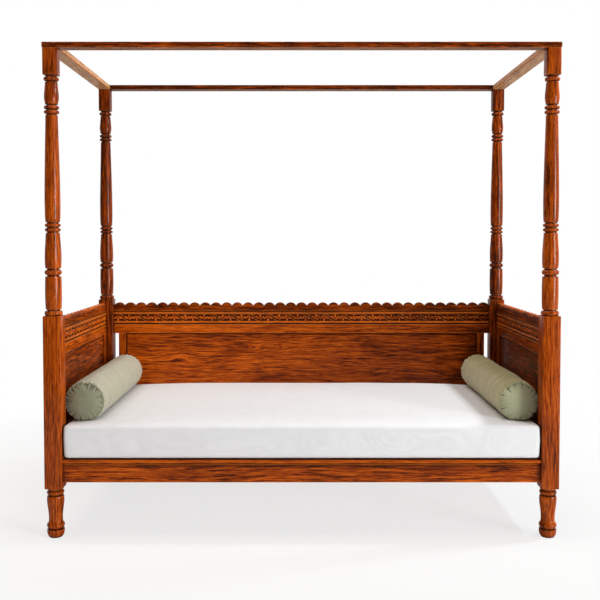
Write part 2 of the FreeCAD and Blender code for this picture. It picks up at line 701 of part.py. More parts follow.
def mattress():
    """Crowned mattress with rounded edges and slightly bulging sides, lofted along X."""
    half = value(MATTRESS_LENGTH) / 2
    rounding = value("mattress_top_round")
    stations = [(share * half, 0) for share in CROWN_SHARES]
    for turn in range(ROUND_TURNS + 1):
        angle = math.radians(90) * turn / ROUND_TURNS
        x = half - rounding * (1 - math.cos(angle))
        inset = rounding * (1 - math.sin(angle))
        stations += [(x, inset), (-x, inset)]
    sections = []
    for x, inset in sorted(stations):
        crown = value("mattress_crown") * (1 - (x / half) ** 2) + least_crown()
        sections.append(mattress_section(x, inset, crown))
    soft = doc.addObject("Part::Feature", "mattress")
    soft.Label = "mattress"
    soft.Shape = Part.makeLoft(sections, True, True)
    soft.setExpression("Placement.Base.y", bound(f"({MATTRESS_BACK} + {MATTRESS_FRONT}) / 2"))
    soft.setExpression("Placement.Base.z", bound(MATTRESS_BOTTOM))
    finished.append(soft)


def bolster(label, side):
    """Round bolster with domed ends, pressed flat where it lies on the mattress."""
    radius = "(bolster_width / 2)"
    middle = f"({FRAME_X} - frame_thickness / 2 - bolster_gap - {radius})"
    flat_edge = f"({middle} - sqrt(bolster_width * bolster_flat))"
    rise = f"mattress_crown * ({CROWN_UNDER_BOLSTER} - (2 * {flat_edge} / {MATTRESS_LENGTH}) ^ 2)"
    height = f"{MATTRESS_TOP} + {rise} + soft_clearance + {radius} - bolster_flat"
    body = new_body(label, f"{side}{middle}", 0, height)
    end = f"({BOLSTER_LENGTH} / 2)"
    half = (("0", end), (f"{DOME_MIDDLE} * {radius}", end),
            (f"{DOME_EDGE} * {radius}", f"{end} - {DOME_EDGE_DROP}"),
            (f"{radius} - bolster_taper", f"{end} - bolster_dome"),
            (radius, f"{end} - bolster_dome - bolster_shoulder"))
    mirrored = [(across, f"-({along})") for across, along in half]
    revolve(body, "XY_Plane", (*mirrored, *reversed(half)))
    left, right = centred("bolster_width")
    near, far = centred(BOLSTER_LENGTH)
    press = new_sketch(body, "XY_Plane", f"bolster_flat - {radius}")
    draw_loop(press, rectangle(left, right, near, far))
    pocket(body, press, "bolster_flat")


def build():
    """Make every sub-part."""
    fill_sheet()
    corners = (("front_left", "-", "-", 0, False, True), ("front_right", "", "-", 90, True, False),
               ("back_right", "", "", 180, True, True), ("back_left", "-", "", 270, True, True))
    for name, x_sign, y_sign, turn, frame_on_x, frame_on_y in corners:
        x, y = f"{x_sign}{POST_X}", f"{y_sign}{POST_Y}"
        leg(f"{name}_leg", x, y, turn, frame_on_x, frame_on_y)
        upper_post(f"{name}_upper_post", x, y, turn)
    canopy_board("canopy_front_rail", CANOPY_LENGTH, 0, f"-{CANOPY_DEPTH} / 2", 0)
    canopy_board("canopy_right_rail", CANOPY_DEPTH, f"{CANOPY_LENGTH} / 2", 0, 90)
    canopy_board("canopy_back_rail", CANOPY_LENGTH, 0, f"{CANOPY_DEPTH} / 2", 180)
    canopy_board("canopy_left_rail", CANOPY_DEPTH, f"-{CANOPY_LENGTH} / 2", 0, 270)
    canopy_keys()
    bed_rail("front_rail", CLEAR_X, f"{RAIL_TOP} - lip_height", 0, f"-{RAIL_Y}", 0)
    bed_rail("back_rail", CLEAR_X, RAIL_TOP, 0, RAIL_Y, 0)
    bed_rail("left_side_rail", CLEAR_Y, RAIL_TOP, f"-{RAIL_X}", 0, 90)
    bed_rail("right_side_rail", CLEAR_Y, RAIL_TOP, RAIL_X, 0, 90)
    front_lip()
    inside = f"({RAIL_Y} - rail_thickness / 2 - ledger_thickness / 2)"
    ledger("front_ledger", f"-{inside}")
    ledger("back_ledger", inside)
    slats()
    corner_blocks()
    panel_frame("back", CLEAR_X, "back_stile_inset", "back_stile_width", "back_scallop_count",
                ("left", "right"), {"y": FRAME_Y})
    for name, sign in (("left_side", "-"), ("right_side", "")):
        panel_frame(name, CLEAR_Y, "side_stile_inset", "side_stile_width", "side_scallop_count",
                    ("front", "back"), {"x": f"{sign}{FRAME_X}", "turn": 90})
    mattress()
    bolster("left_bolster", "-")
    bolster("right_bolster", "")


def check_and_write():
    """Stop if any object failed, then write one STEP file for each sub-part."""
    doc.recompute()
    for thing in doc.Objects:
        if "Invalid" in thing.State or "Error" in thing.State:
            raise RuntimeError(f"{thing.Label} failed: {thing.State}")
    os.makedirs("parts", exist_ok=True)
    for thing in finished:
        shape = thing.Shape
        if shape.isNull() or not shape.isValid() or not shape.Solids:
            raise RuntimeError(f"{thing.Label} has no valid solid")
        shape.exportStep(f"parts/{thing.Label}.step")
    print(f"{len(finished)} sub-parts written")


build()
check_and_write()
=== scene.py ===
"""Persian takht: a four-poster daybed of turned and carved wood with a white mattress and two green bolsters.

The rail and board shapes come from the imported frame. This file turns the posts and legs, cuts the scalloped
crests, carves the rails under them, makes the mattress and the bolsters, and gives every piece its finish.
"""
import json
import math
import random

import bmesh
import bpy
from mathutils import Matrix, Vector, noise

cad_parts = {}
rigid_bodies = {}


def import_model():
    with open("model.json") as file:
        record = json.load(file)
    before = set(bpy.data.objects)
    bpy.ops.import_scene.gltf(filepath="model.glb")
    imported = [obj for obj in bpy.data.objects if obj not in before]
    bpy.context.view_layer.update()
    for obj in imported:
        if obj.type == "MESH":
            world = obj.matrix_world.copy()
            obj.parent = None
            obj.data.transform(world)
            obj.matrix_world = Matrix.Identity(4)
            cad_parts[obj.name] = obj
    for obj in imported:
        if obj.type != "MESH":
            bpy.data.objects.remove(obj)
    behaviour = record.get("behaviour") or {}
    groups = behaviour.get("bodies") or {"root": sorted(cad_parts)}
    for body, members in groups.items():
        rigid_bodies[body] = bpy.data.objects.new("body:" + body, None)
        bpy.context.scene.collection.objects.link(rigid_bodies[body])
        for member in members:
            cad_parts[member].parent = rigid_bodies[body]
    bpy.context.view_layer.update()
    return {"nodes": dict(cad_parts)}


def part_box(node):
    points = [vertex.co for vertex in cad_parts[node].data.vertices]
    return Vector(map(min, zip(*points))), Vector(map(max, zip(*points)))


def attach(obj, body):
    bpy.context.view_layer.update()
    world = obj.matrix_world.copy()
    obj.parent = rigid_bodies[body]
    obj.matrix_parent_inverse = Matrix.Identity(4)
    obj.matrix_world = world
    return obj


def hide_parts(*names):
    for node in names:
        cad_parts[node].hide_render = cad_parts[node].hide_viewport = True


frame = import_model()

bl_info = {
    "name": "Persian takht",
    "version": (1, 0, 0),
    "blender": (4, 5, 0),
    "location": "View3D > Sidebar > Takht",
    "description": "Turned posts, scalloped crests, carved rails, mattress and bolsters of a canopy daybed",
    "category": "Add Mesh",
}

TAU = math.tau
MM = 0.001

# Where the posts stand, and the two turnings. Each row of a turning is the radius as a share of the post's,
# the height as a share of the turned length, and, unless it's straight, how far the line to the next swells.
POST_X = 990 * MM
POST_Y = 465 * MM
CORNERS = {"front_left": (-1, -1), "front_right": (1, -1), "back_right": (1, 1), "back_left": (-1, 1)}
FOOT_TOP = 199 * MM
BLOCK_TOP = 892 * MM
SHAFT_TOP = 1842 * MM
HEAD_TOP = 1946 * MM
CANOPY_INNER = 959 * MM
FOOT_TURNING = (
    (0.70, 0.0, 0.16), (0.94, 0.070), (0.985, 0.115), (0.97, 0.160), (0.90, 0.164), (0.72, 0.170),
    (0.72, 0.188), (0.88, 0.194, 0.44), (0.88, 0.290), (0.82, 0.305), (0.785, 0.340), (0.775, 0.400),
    (0.785, 0.450), (0.83, 0.530), (0.89, 0.610), (0.945, 0.690), (0.97, 0.760), (0.955, 0.820),
    (0.91, 0.842), (0.72, 0.850), (0.72, 0.868), (0.87, 0.874, 0.52), (0.87, 0.944), (0.76, 0.948),
    (0.76, 0.974), (0.92, 0.980), (0.92, 1.0))
SHAFT_TURNING = (
    (0.89, 0.0, 0.46), (0.89, 0.0195), (0.72, 0.0205), (0.72, 0.0242), (0.87, 0.0255), (0.90, 0.046),
    (0.925, 0.070), (0.93, 0.095), (0.925, 0.125), (0.90, 0.163), (0.68, 0.1645), (0.68, 0.1690),
    (0.80, 0.1705, 0.58), (0.80, 0.1910), (0.68, 0.1925), (0.68, 0.1962), (0.86, 0.1975), (0.915, 0.215),
    (0.93, 0.237), (0.925, 0.255), (0.895, 0.280), (0.84, 0.310), (0.80, 0.333), (0.785, 0.3455),
    (0.65, 0.3470), (0.65, 0.3505), (0.765, 0.3520, 0.66), (0.765, 0.3655), (0.65, 0.3665), (0.65, 0.3700),
    (0.765, 0.3710, 0.66), (0.765, 0.3845), (0.65, 0.3860), (0.65, 0.3895), (0.79, 0.3910), (0.82, 0.396),
    (0.855, 0.415), (0.875, 0.455), (0.875, 0.495), (0.86, 0.545), (0.82, 0.620), (0.77, 0.700),
    (0.715, 0.780), (0.69, 0.820), (0.685, 0.8345), (0.56, 0.8360), (0.56, 0.8395), (0.725, 0.8410, 0.66),
    (0.725, 0.8545), (0.58, 0.8555), (0.58, 0.8590), (0.725, 0.8600, 0.66), (0.725, 0.8735), (0.56, 0.8750),
    (0.56, 0.8785), (0.70, 0.8800), (0.76, 0.890), (0.815, 0.904), (0.82, 0.914), (0.80, 0.926),
    (0.755, 0.942), (0.715, 0.960), (0.70, 0.9705), (0.59, 0.9720), (0.59, 0.9752), (0.755, 0.9765, 0.50),
    (0.755, 0.9915), (0.58, 0.9925), (0.58, 0.9965), (0.66, 0.9975), (0.66, 1.0))


def heights(node):
    """The lowest and the highest point of a piece of the frame."""
    low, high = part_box(node)
    return low.z, high.z


# The panel frames: half their run, the width of a side's stiles, and the planes their boards are centred on.
BACK_RUN = 955 * MM
SIDE_RUN = 430 * MM
SIDE_STILE = 45 * MM
BACK_PLANE = 476 * MM
SIDE_PLANE = 1001 * MM
CREST_BOTTOM, CREST_TOP = heights("back_crest")
CREST_VALLEY = CREST_TOP - 16 * MM
CREST_THICK = 24 * MM
CARVED_BOTTOM, CARVED_TOP = heights("back_carved_rail")
CARVED_THICK = 26 * MM


def tint(red, green, blue):
    """A screen colour, 0 to 255, as the linear colour that shaders take."""
    line = []
    for part in (red, green, blue):
        share = part / 255
        line.append(share / 12.92 if share <= 0.04045 else ((share + 0.055) / 1.055) ** 2.4)
    return (*line, 1.0)


class TakhtWood(bpy.types.PropertyGroup):
    """Sizes and colours of the wooden pieces."""

    post_radius: bpy.props.FloatProperty(
        name="Post radius", description="Largest radius of the turned posts", default=0.035, unit="LENGTH")
    block_side: bpy.props.FloatProperty(
        name="Block side", description="Side of the square block of a leg", default=0.070, unit="LENGTH")
    head_side: bpy.props.FloatProperty(
        name="Head side", description="Side of the square head of an upper post", default=0.058,
        unit="LENGTH")
    back_scallops: bpy.props.IntProperty(
        name="Back scallops", description="Number of scallops along the back", default=35, min=1)
    side_scallops: bpy.props.IntProperty(
        name="Side scallops", description="Number of scallops along each side", default=16, min=1)
    carving_depth: bpy.props.FloatProperty(
        name="Carving depth", description="How deep the carved rails are cut", default=0.0048, unit="LENGTH")
    light_tone: bpy.props.FloatVectorProperty(
        name="Light tone", description="Colour between the rings of the wood", subtype="COLOR", size=4,
        default=tint(208, 98, 16), min=0, max=1)
    middle_tone: bpy.props.FloatVectorProperty(
        name="Middle tone", description="Body colour of the wood", subtype="COLOR", size=4,
        default=tint(148, 59, 5), min=0, max=1)
    dark_tone: bpy.props.FloatVectorProperty(
        name="Dark tone", description="Colour of the dark rings and streaks", subtype="COLOR", size=4,
        default=tint(62, 20, 2), min=0, max=1)


class TakhtCloth(bpy.types.PropertyGroup):
    """Sizes and colours of the mattress and the bolsters."""

    mattress_colour: bpy.props.FloatVectorProperty(
        name="Mattress colour", description="Colour of the mattress cover", subtype="COLOR", size=4,
        default=tint(235, 236, 242), min=0, max=1)
    bolster_colour: bpy.props.FloatVectorProperty(
        name="Bolster colour", description="Colour of the bolster covers", subtype="COLOR", size=4,
        default=tint(168, 164, 138), min=0, max=1)
    mattress_crown: bpy.props.FloatProperty(
        name="Mattress crown", description="How far the top of the mattress rises in the middle",
        default=0.021, unit="LENGTH")
    bolster_radius: bpy.props.FloatProperty(
        name="Bolster radius", description="Radius of a bolster at its middle", default=0.083, unit="LENGTH")
    gathers: bpy.props.IntProperty(
        name="Gathers", description="Number of folds where a bolster's end is drawn in", default=32, min=0)


class Wire:
    """One output of a node. Python's operators on it add the Math nodes of the expression."""

    def __init__(self, bench, socket):
        self.bench = bench
        self.socket = socket

    def math(self, operation, *values, **settings):
        return self.bench.node(
            "ShaderNodeMath", {"operation": operation, **settings}, dict(enumerate(values)))

    def __add__(self, other):
        return self.math("ADD", self, other)

    def __radd__(self, other):
        return self.math("ADD", other, self)

    def __sub__(self, other):
        return self.math("SUBTRACT", self, other)

    def __rsub__(self, other):
        return self.math("SUBTRACT", other, self)

    def __mul__(self, other):
        return self.math("MULTIPLY", self, other)

    def __rmul__(self, other):
        return self.math("MULTIPLY", other, self)

    def __truediv__(self, other):
        return self.math("DIVIDE", self, other)

    def __pow__(self, other):
        return self.math("POWER", self, other)

    def __abs__(self):
        return self.math("ABSOLUTE", self)

    def sin(self):
        return self.math("SINE", self)

    def exp(self):
        return self.math("EXPONENT", self)

    def clamped(self):
        return self.math("ADD", self, 0.0, use_clamp=True)


class Bench:
    """The nodes of one finish."""

    def __init__(self, name, world=None):
        self.finish = world or bpy.data.materials.new(name)
        self.finish.use_nodes = True
        self.tree = self.finish.node_tree
        self.tree.nodes.clear()

    def node(self, kind, settings=None, values=None, output=0):
        """Adds a node: its settings first, then the values or links of its sockets."""
        made = self.tree.nodes.new(kind)
        for key, value in (settings or {}).items():
            if key == "stops":
                self.lay_stops(made.color_ramp, value)
            else:
                setattr(made, key, value)
        for key, value in (values or {}).items():
            if isinstance(value, Wire):
                self.tree.links.new(value.socket, made.inputs[key])
            else:
                made.inputs[key].default_value = value
        return Wire(self, made.outputs[output])

    @staticmethod
    def lay_stops(ramp, stops):
        while len(ramp.elements) < len(stops):
            ramp.elements.new(1.0)
        for element, (at, colour) in zip(ramp.elements, stops):
            element.position = at
            element.color = colour

    def place(self):
        """The three coordinates of a point of the piece, in metres."""
        point = self.node("ShaderNodeTexCoord", output="Object")
        return [self.node("ShaderNodeSeparateXYZ", values={0: point}, output=axis) for axis in range(3)]

    def join(self, x, y, z):
        return self.node("ShaderNodeCombineXYZ", values={0: x, 1: y, 2: z})

    def cloud(self, x, y, z, detail=2.0, roughness=0.5):
        """Soft noise, 0 to 1, at a point."""
        values = {"Vector": self.join(x, y, z), "Scale": 1.0, "Detail": detail, "Roughness": roughness}
        return self.node("ShaderNodeTexNoise", {"noise_dimensions": "3D"}, values)

    def mixed(self, mask, first, second, way="MIX"):
        """Two colours mixed by a mask."""
        values = {0: mask, MIX_FIRST: first, MIX_SECOND: second}
        return self.node("ShaderNodeMix", {"data_type": "RGBA", "blend_type": way}, values, MIX_RESULT)

    def nooks(self, reach, inside=False):
        """How closed in a point is, within reach: 0 on an open face, up to 1 in a groove, or just inside a
        sharp edge."""
        open_share = self.node("ShaderNodeAmbientOcclusion", {"samples": 6, "inside": inside},
                               {"Distance": reach}, "AO")
        return 1 - open_share

    def bumped(self, height, distance, strength):
        values = {"Height": height, "Distance": distance, "Strength": strength}
        return self.node("ShaderNodeBump", values=values)

    def coated(self, **sockets):
        """The surface itself: sockets are named with _ for a space."""
        values = {key.replace("_", " "): value for key, value in sockets.items()}
        self.end(self.node("ShaderNodeBsdfPrincipled", values=values))
        return self.finish

    def end(self, surface, kind="ShaderNodeOutputMaterial"):
        self.tree.links.new(surface.socket, self.tree.nodes.new(kind).inputs["Surface"])


# Sockets of the Mix node when it mixes colours.
MIX_FIRST = 6
MIX_SECOND = 7
MIX_RESULT = 2

# What a board's grain runs along, and the two directions across it.
GRAIN = {"x": (0, 2, 1), "y": (1, 2, 0), "z": (2, 0, 1)}


# Colours of pores, of edges lightened by wear and a painted highlight, of planed boards, of faces under the
# canopy painted pale as light from the floor, of sharp edges lightened by wear and a painted highlight, and
# of the painted shade in grooves.
PORE_TINT = tint(38, 12, 2)
WORN_AND_HIGHLIT_TINT = tint(214, 118, 44)
PLANED_TINT = tint(196, 140, 88)
PAINTED_FLOOR_LIGHT_TINTS = (tint(150, 98, 58), tint(232, 188, 140))
EDGE_WEAR_AND_HIGHLIGHT_TINT = tint(224, 128, 52)
PAINTED_GROOVE_SHADE_TINT = tint(26, 8, 1)

# Rings per metre, reach of the wear and painted highlight of an edge, margin of a face painted with floor
# light, how deep the carved face of a rail goes, and where the painted shade of the bed's right end begins.
RINGS = 46.0
EDGE_REACH = 5 * MM
PAINTED_FLOOR_LIGHT_MARGIN = 0.8 * MM
CARVED_FACE = CARVED_THICK * 0.7
PAINTED_END_SHADE_FROM = 0.30

# Knots of the back panel, longer along the grain: (x, height), width, and how far they push the rings aside.
KNOT_SHARE = 0.40
KNOTS = (((-0.246, 0.637), 0.017, 0.030), ((-0.118, 0.638), 0.016, 0.027), ((-0.62, 0.60), 0.026, -0.018))

# Changes of tone as (from height, to height, change): painted shadow under the lip, and a painted highlight
# along the top of a crest.
PAINTED_SHADE_UNDER_LIP = (0.280, 0.297, -0.60)
PAINTED_CREST_HIGHLIGHT = (0.866, 0.873, 0.5)


def wood(name, grain, tone=0.0, wave=0.05, knots=(), relief=None, worn_and_highlit=False, bare=False, under=None,
         edges=0.55, right_end_painted_shade=0.0, wax=0.12, painted_shade_reach=11 * MM, contrast=1.0, band=None):
    """Stained and waxed hardwood, with painted shade in its grooves and light along its edges, partly from
    wear and partly a painted highlight.

    tone shifts it, wave is how far its rings wander, contrast how strong its figure is, and knots are points
    that the rings close round. relief is (axis, plane, depth) of a carved face, whose ground gets painted
    shade and whose face a painted highlight. worn is for edges that lost their stain and are lightened as a
    painted highlight too, bare for planed boards, and under is (height, inner face) of a board painted pale
    below and inside, as light bounced from the floor. edges is how light sharp edges are, by wear and painted
    highlight, recess how far from a groove its painted shade reaches, wax how glossy it is,
    right_end_painted_shade how much painted shade darkens the right end of the bed, and band a painted shadow
    or painted highlight over a height.
    """
    colours = bpy.context.scene.takht_wood
    bench = Bench(name)
    place = bench.place()
    along, across, deep = (place[axis] for axis in GRAIN[grain])
    across = across + deep * 0.62
    drift = bench.cloud(along * 1.5, across * 6.5, deep * 5.0, detail=3.0, roughness=0.55)
    flow = across + (drift - 0.5) * wave
    for knot, reach, lift in knots:
        here = bench.join(place[0] * KNOT_SHARE, 0.0, place[2])
        middle = (knot[0] * KNOT_SHARE, 0.0, knot[1])
        far = bench.node("ShaderNodeVectorMath", {"operation": "DISTANCE"}, {0: here, 1: middle}, "Value")
        flow = flow + (0 - (far / reach) ** 2.0).exp() * lift
    figure = bench.cloud(along * 8.0, flow * 135.0, deep * 12.0, detail=5.0, roughness=0.78)
    broad = bench.cloud(along * 1.6, flow * 21.0, deep * 8.0, detail=2.0)
    ring = (flow * (RINGS * TAU) + (broad - 0.5) * 11.0).sin() * 0.5 + 0.5
    vein = ring ** 9.0 * ((broad - 0.40) * 4.0).clamped()
    fibre = bench.cloud(along * 16.0, across * 400.0, deep * 400.0, detail=2.0, roughness=0.6)
    pore = bench.cloud(along * 30.0, across * 700.0, deep * 700.0, detail=1.0)
    patch = bench.cloud(along * 2.2, across * 7.0, deep * 7.0, detail=2.0, roughness=0.6)
    fleck = ((bench.cloud(along * 12.0, flow * 150.0, deep * 150.0, detail=1.0) - 0.60) * 8.0).clamped()
    level = 0.58 + tone + (figure - 0.5) * (2.8 * contrast) + (broad - 0.5) * 0.5
    level = level + (patch - 0.5) * 0.6 + (fibre - 0.5) * 1.1
    level = level - vein * 0.26 - fleck * 0.42
    # A painted shadow or painted highlight over a height.
    if band:
        low, high, change = band
        level = level + ((place[2] - low) / (high - low)).clamped() * change
    # Painted shade towards the right end of the bed.
    if right_end_painted_shade:
        level = level - ((place[0] - PAINTED_END_SHADE_FROM) * 1.6).clamped() * right_end_painted_shade
    # Painted shade in the ground of the carving, and a painted highlight on its face.
    if relief:
        axis, plane, depth = relief
        behind = abs(place[axis]) - plane
        on_face = ((CARVED_FACE - behind) * 1000.0).clamped()
        sunk = (behind / depth).clamped() * on_face
        level = level - sunk * 1.35 + on_face * 0.36
    stain = bench.node(
        "ShaderNodeValToRGB",
        {"stops": ((0.04, colours.dark_tone), (0.50, colours.middle_tone), (0.96, colours.light_tone))},
        {0: level})
    dash = ((pore - 0.62) * 9.0).clamped()
    stain = bench.mixed(dash * 0.6, stain, PORE_TINT)
    # Edges lighter by wear, and as a painted highlight.
    if worn_and_highlit:
        stain = bench.mixed(0.50, stain, WORN_AND_HIGHLIT_TINT)
    if bare:
        stain = bench.mixed(0.62, stain, PLANED_TINT)
    # Faces below and inside painted pale, as light bounced from the floor; they lose their wax there too.
    if under:
        lowest, inner = under
        painted_floor_light = ((lowest + PAINTED_FLOOR_LIGHT_MARGIN - place[2]) * 4000).clamped()
        if inner:
            painted_floor_light = (painted_floor_light + ((inner + PAINTED_FLOOR_LIGHT_MARGIN - abs(place[0])) * 4000).clamped()).clamped()
        floor_light_tone = bench.mixed((level * 0.8 + 0.1).clamped(), *PAINTED_FLOOR_LIGHT_TINTS)
        stain = bench.mixed(painted_floor_light * (0.85 if inner else 0.35), stain, floor_light_tone)
    # Light along sharp edges: partly wear, partly a painted highlight.
    worn_and_highlit_edge = ((bench.nooks(EDGE_REACH, inside=True) - 0.16) * 1.7).clamped() * edges
    stain = bench.mixed(worn_and_highlit_edge, stain, EDGE_WEAR_AND_HIGHLIGHT_TINT)
    # Painted shade in grooves and between parts.
    groove = ((bench.nooks(painted_shade_reach) - 0.12) * 1.9).clamped() * 0.92
    stain = bench.mixed(groove, stain, PAINTED_GROOVE_SHADE_TINT)
    height = fibre * 0.6 - dash * 0.6
    if under:
        wax = (1.0 - painted_floor_light) * wax
    return bench.coated(
        Base_Color=stain, Roughness=(0.36 + (fibre - 0.5) * 0.25 + dash * 0.2).clamped(), IOR=1.5,
        Specular_IOR_Level=0.05, Coat_Weight=wax, Coat_Roughness=0.15,
        Normal=bench.bumped(height, 0.0004, 0.5))


def cotton(name, colour, weave, slub, sheen, folds=0.0, shade_in_folds=0.0, painted_crease_shade=0.0, end_shade=None):
    """Woven cotton, soft and a little uneven in shade.

    weave is in radians per metre and slub the unevenness of its threads. folds roughens it, shade_in_folds
    darkens what is closed in with painted shade, creases lays soft bands of painted shade and light across
    the roll as of wrinkles, and end_shade paints light and shade on a bolster's ends.
    """
    bench = Bench(name)
    x, y, z = bench.place()
    around = x + 0.7 * z
    warp = (y * weave).sin()
    weft = (around * weave).sin()
    cloth = warp * weft
    uneven = bench.cloud(x * 26.0, y * 26.0, z * 26.0, detail=3.0, roughness=0.6)
    thread = bench.cloud(around * 420.0, y * 26.0, z * 60.0, detail=1.0)
    cross = bench.cloud(around * 24.0, y * 420.0, z * 60.0, detail=1.0)
    shade = ((uneven - 0.5) * 0.22 + (thread + cross - 1.0) * slub + cloth * 0.025 + 0.5).clamped()
    # Soft bands of painted shade and light across the roll, standing in for wrinkles.
    if painted_crease_shade:
        crease = bench.cloud(x * 5.0, y * 30.0 + x * 7.0, z * 5.0, detail=3.0, roughness=0.55)
        shade = (shade + (crease - 0.5) * painted_crease_shade).clamped()
    darker = tuple(part * 0.74 for part in colour[:3]) + (1.0,)
    lighter = tuple(min(1.0, part * 1.20) for part in colour[:3]) + (1.0,)
    dyed = bench.mixed(shade, darker, lighter)
    # Painted shade on a bolster's ends, or painted light that takes back the warm tint of its body.
    if end_shade:
        at_end = ((abs(y) - BOLSTER_SEAM + 6.0 * MM) * 300.0).clamped()
        dyed = bench.mixed(at_end, dyed, end_shade, way="MULTIPLY")
    if shade_in_folds:
        deep_fold = ((bench.nooks(9 * MM) - 0.10) * 2.2).clamped() * shade_in_folds
        dyed = bench.mixed(deep_fold, dyed, tuple(part * 0.16 for part in colour[:3]) + (1.0,))
    height = cloth * 0.35 + (thread + cross) * 0.4 + uneven * folds
    return bench.coated(
        Base_Color=dyed, Roughness=0.88, Sheen_Weight=sheen, Sheen_Roughness=0.45,
        Normal=bench.bumped(height, 0.0006, 0.6))


def placed(name, data):
    """A new object of the scene."""
    made = bpy.data.objects.new(name, data)
    bpy.context.scene.collection.objects.link(made)
    return made


def skin(name, shells, finishes, sharp=34.0):
    """A piece from shells: each is a row of loops with as many points, joined in order and closed at both
    ends."""
    made = bmesh.new()
    for loops in shells:
        rows = [[made.verts.new(point) for point in loop] for loop in loops]
        for low, high in zip(rows, rows[1:]):
            for i, corner in enumerate(low):
                j = (i + 1) % len(low)
                made.faces.new((corner, low[j], high[j], high[i]))
        made.faces.new(rows[0][::-1])
        made.faces.new(rows[-1])
    bmesh.ops.recalc_face_normals(made, faces=made.faces)
    mesh = bpy.data.meshes.new(name)
    made.to_mesh(mesh)
    made.free()
    mesh.polygons.foreach_set("use_smooth", [True] * len(mesh.polygons))
    mesh.set_sharp_from_angle(angle=math.radians(sharp))
    for finish in finishes:
        mesh.materials.append(finish)
    return placed(name, mesh)


def swelled(start, end, swell=0.0):
    """Points after start, up to end, on an arc that stands off its chord by swell times half the chord."""
    if not swell:
        return [end]
    (x0, y0), (x1, y1) = start, end
    turn = 4 * math.atan(swell)
    chord = math.hypot(x1 - x0, y1 - y0)
    radius = chord / (2 * math.sin(turn / 2))
    steps = max(3, math.ceil(turn / 0.2))
    points = []
    for step in range(1, steps + 1):
        angle = turn * step / steps - turn / 2
        run = 0.5 + radius * math.sin(angle) / chord
        rise = radius * (math.cos(angle) - math.cos(turn / 2)) / chord
        points.append((x0 + (x1 - x0) * run + (y1 - y0) * rise, y0 + (y1 - y0) * run - (x1 - x0) * rise))
    return points


def turned(centre, turning, radius, low, high):
    """Loops of a turning between two heights."""
    sides = 80
    rows = [(row[0] * radius, low + row[1] * (high - low)) for row in turning]
    line = [rows[0]]
    for start, end, row in zip(rows, rows[1:], turning):
        line.extend(swelled(start, end, *row[2:]))
    loops = []
    angles = [TAU * i / sides for i in range(sides)]
    for reach, z in line:
        loops.append([
            Vector((centre[0] + reach * math.cos(angle), centre[1] + reach * math.sin(angle), z))
            for angle in angles])
    return loops


def square(centre, half, corner, z):
    """One loop of a square with rounded corners."""
    steps = 3
    loop = []
    for quarter in range(4):
        turn = math.radians(90 * quarter + 45)
        middle_x = centre[0] + math.copysign(half - corner, math.cos(turn))
        middle_y = centre[1] + math.copysign(half - corner, math.sin(turn))
        for step in range(steps + 1):
            angle = math.radians(90 * quarter + 90 * step / steps)
            loop.append(Vector((middle_x + corner * math.cos(angle), middle_y + corner * math.sin(angle), z)))
    return loop


def eased(piece):
    """Rounds the sharp edges of a wooden piece, whose second finish is for its edges."""
    joined = piece.modifiers.new("Joined corners", "WELD")
    joined.merge_threshold = 0.00002
    edge = piece.modifiers.new("Eased edges", "BEVEL")
    edge.width = 0.0011
    edge.segments = 2
    edge.limit_method = "ANGLE"
    edge.angle_limit = math.radians(42)
    edge.harden_normals = True
    edge.material = 1


def board_place(side):
    """Maps (along the board, out from its centre plane towards the seat, height) to a point, for each
    frame."""
    if side == "back":
        return lambda along, inward, z: Vector((along, BACK_PLANE - inward, z))
    sign = -1 if side == "left" else 1
    return lambda along, inward, z: Vector((sign * (SIDE_PLANE - inward), along, z))


def crest(name, side, run, scallops, finishes):
    """A crest board: a straight foot, and a row of round scallops with softened edges along the top."""
    put = board_place(side)
    half = CREST_THICK / 2
    pitch = 2 * run / scallops
    rise = CREST_TOP - CREST_VALLEY
    radius = ((pitch / 2) ** 2 + rise ** 2) / (2 * rise)
    steps = 12
    soft = 3.2 * MM
    loops = []
    for count in range(scallops * steps + 1):
        along = -run + count * pitch / steps
        off = (count % steps) / steps * pitch - pitch / 2
        top = CREST_TOP - radius + math.sqrt(radius ** 2 - off ** 2)
        loop = [put(along, -half, CREST_BOTTOM), put(along, half, CREST_BOTTOM)]
        for step in range(5):
            angle = math.radians(22.5 * step)
            loop.append(put(along, half - soft + soft * math.cos(angle), top - soft + soft * math.sin(angle)))
        for step in range(5):
            angle = math.radians(90 + 22.5 * step)
            loop.append(put(along, soft - half + soft * math.cos(angle), top - soft + soft * math.sin(angle)))
        loops.append(loop)
    return skin(name, [loops], finishes)


def ridge(off, width):
    """A rounded ridge, 1 on its line and 0 beyond its width."""
    return max(0.0, 1 - (off / width) ** 2)


def carved(along, up, period):
    """Height of the carving, 0 in the ground and 1 on the ridges, at a point of the band in metres.

    It is a waving stem, split in two cords where it falls, and in each hollow of it a lobed leaf that
    spreads towards the border.
    """
    turn = TAU * along / period
    reach = 11.5 * MM
    slope = reach * math.cos(turn) * TAU / period
    off = abs(up - reach * math.sin(turn)) / math.sqrt(1 + slope * slope)
    falling = min(1.0, max(0.0, 0.5 - 1.6 * math.cos(turn)))
    highest = max(falling * ridge(off - 4.4 * MM, 2.4 * MM), (1 - falling) * 0.8 * ridge(off, 3.4 * MM))
    half_wave = (along / period * 2) % 2
    way = 1 if half_wave < 1 else -1
    near = (half_wave % 1 - 0.5) * period / 2 + way * 4.0 * MM
    down = reach - 3.0 * MM - way * up
    if down > 0:
        spread = math.atan2(near, down)
        lobe = 0.5 + 0.5 * math.cos(spread * 6.6)
        length = (19.0 + 9.0 * lobe) * MM
        far = math.hypot(near, down)
        if far < length and abs(spread) < 1.45:
            edge = min(1.0, (length - far) / (2.4 * MM)) * min(1.0, far / (3.0 * MM))
            highest = max(highest, edge * (0.50 + 0.45 * lobe))
    return highest


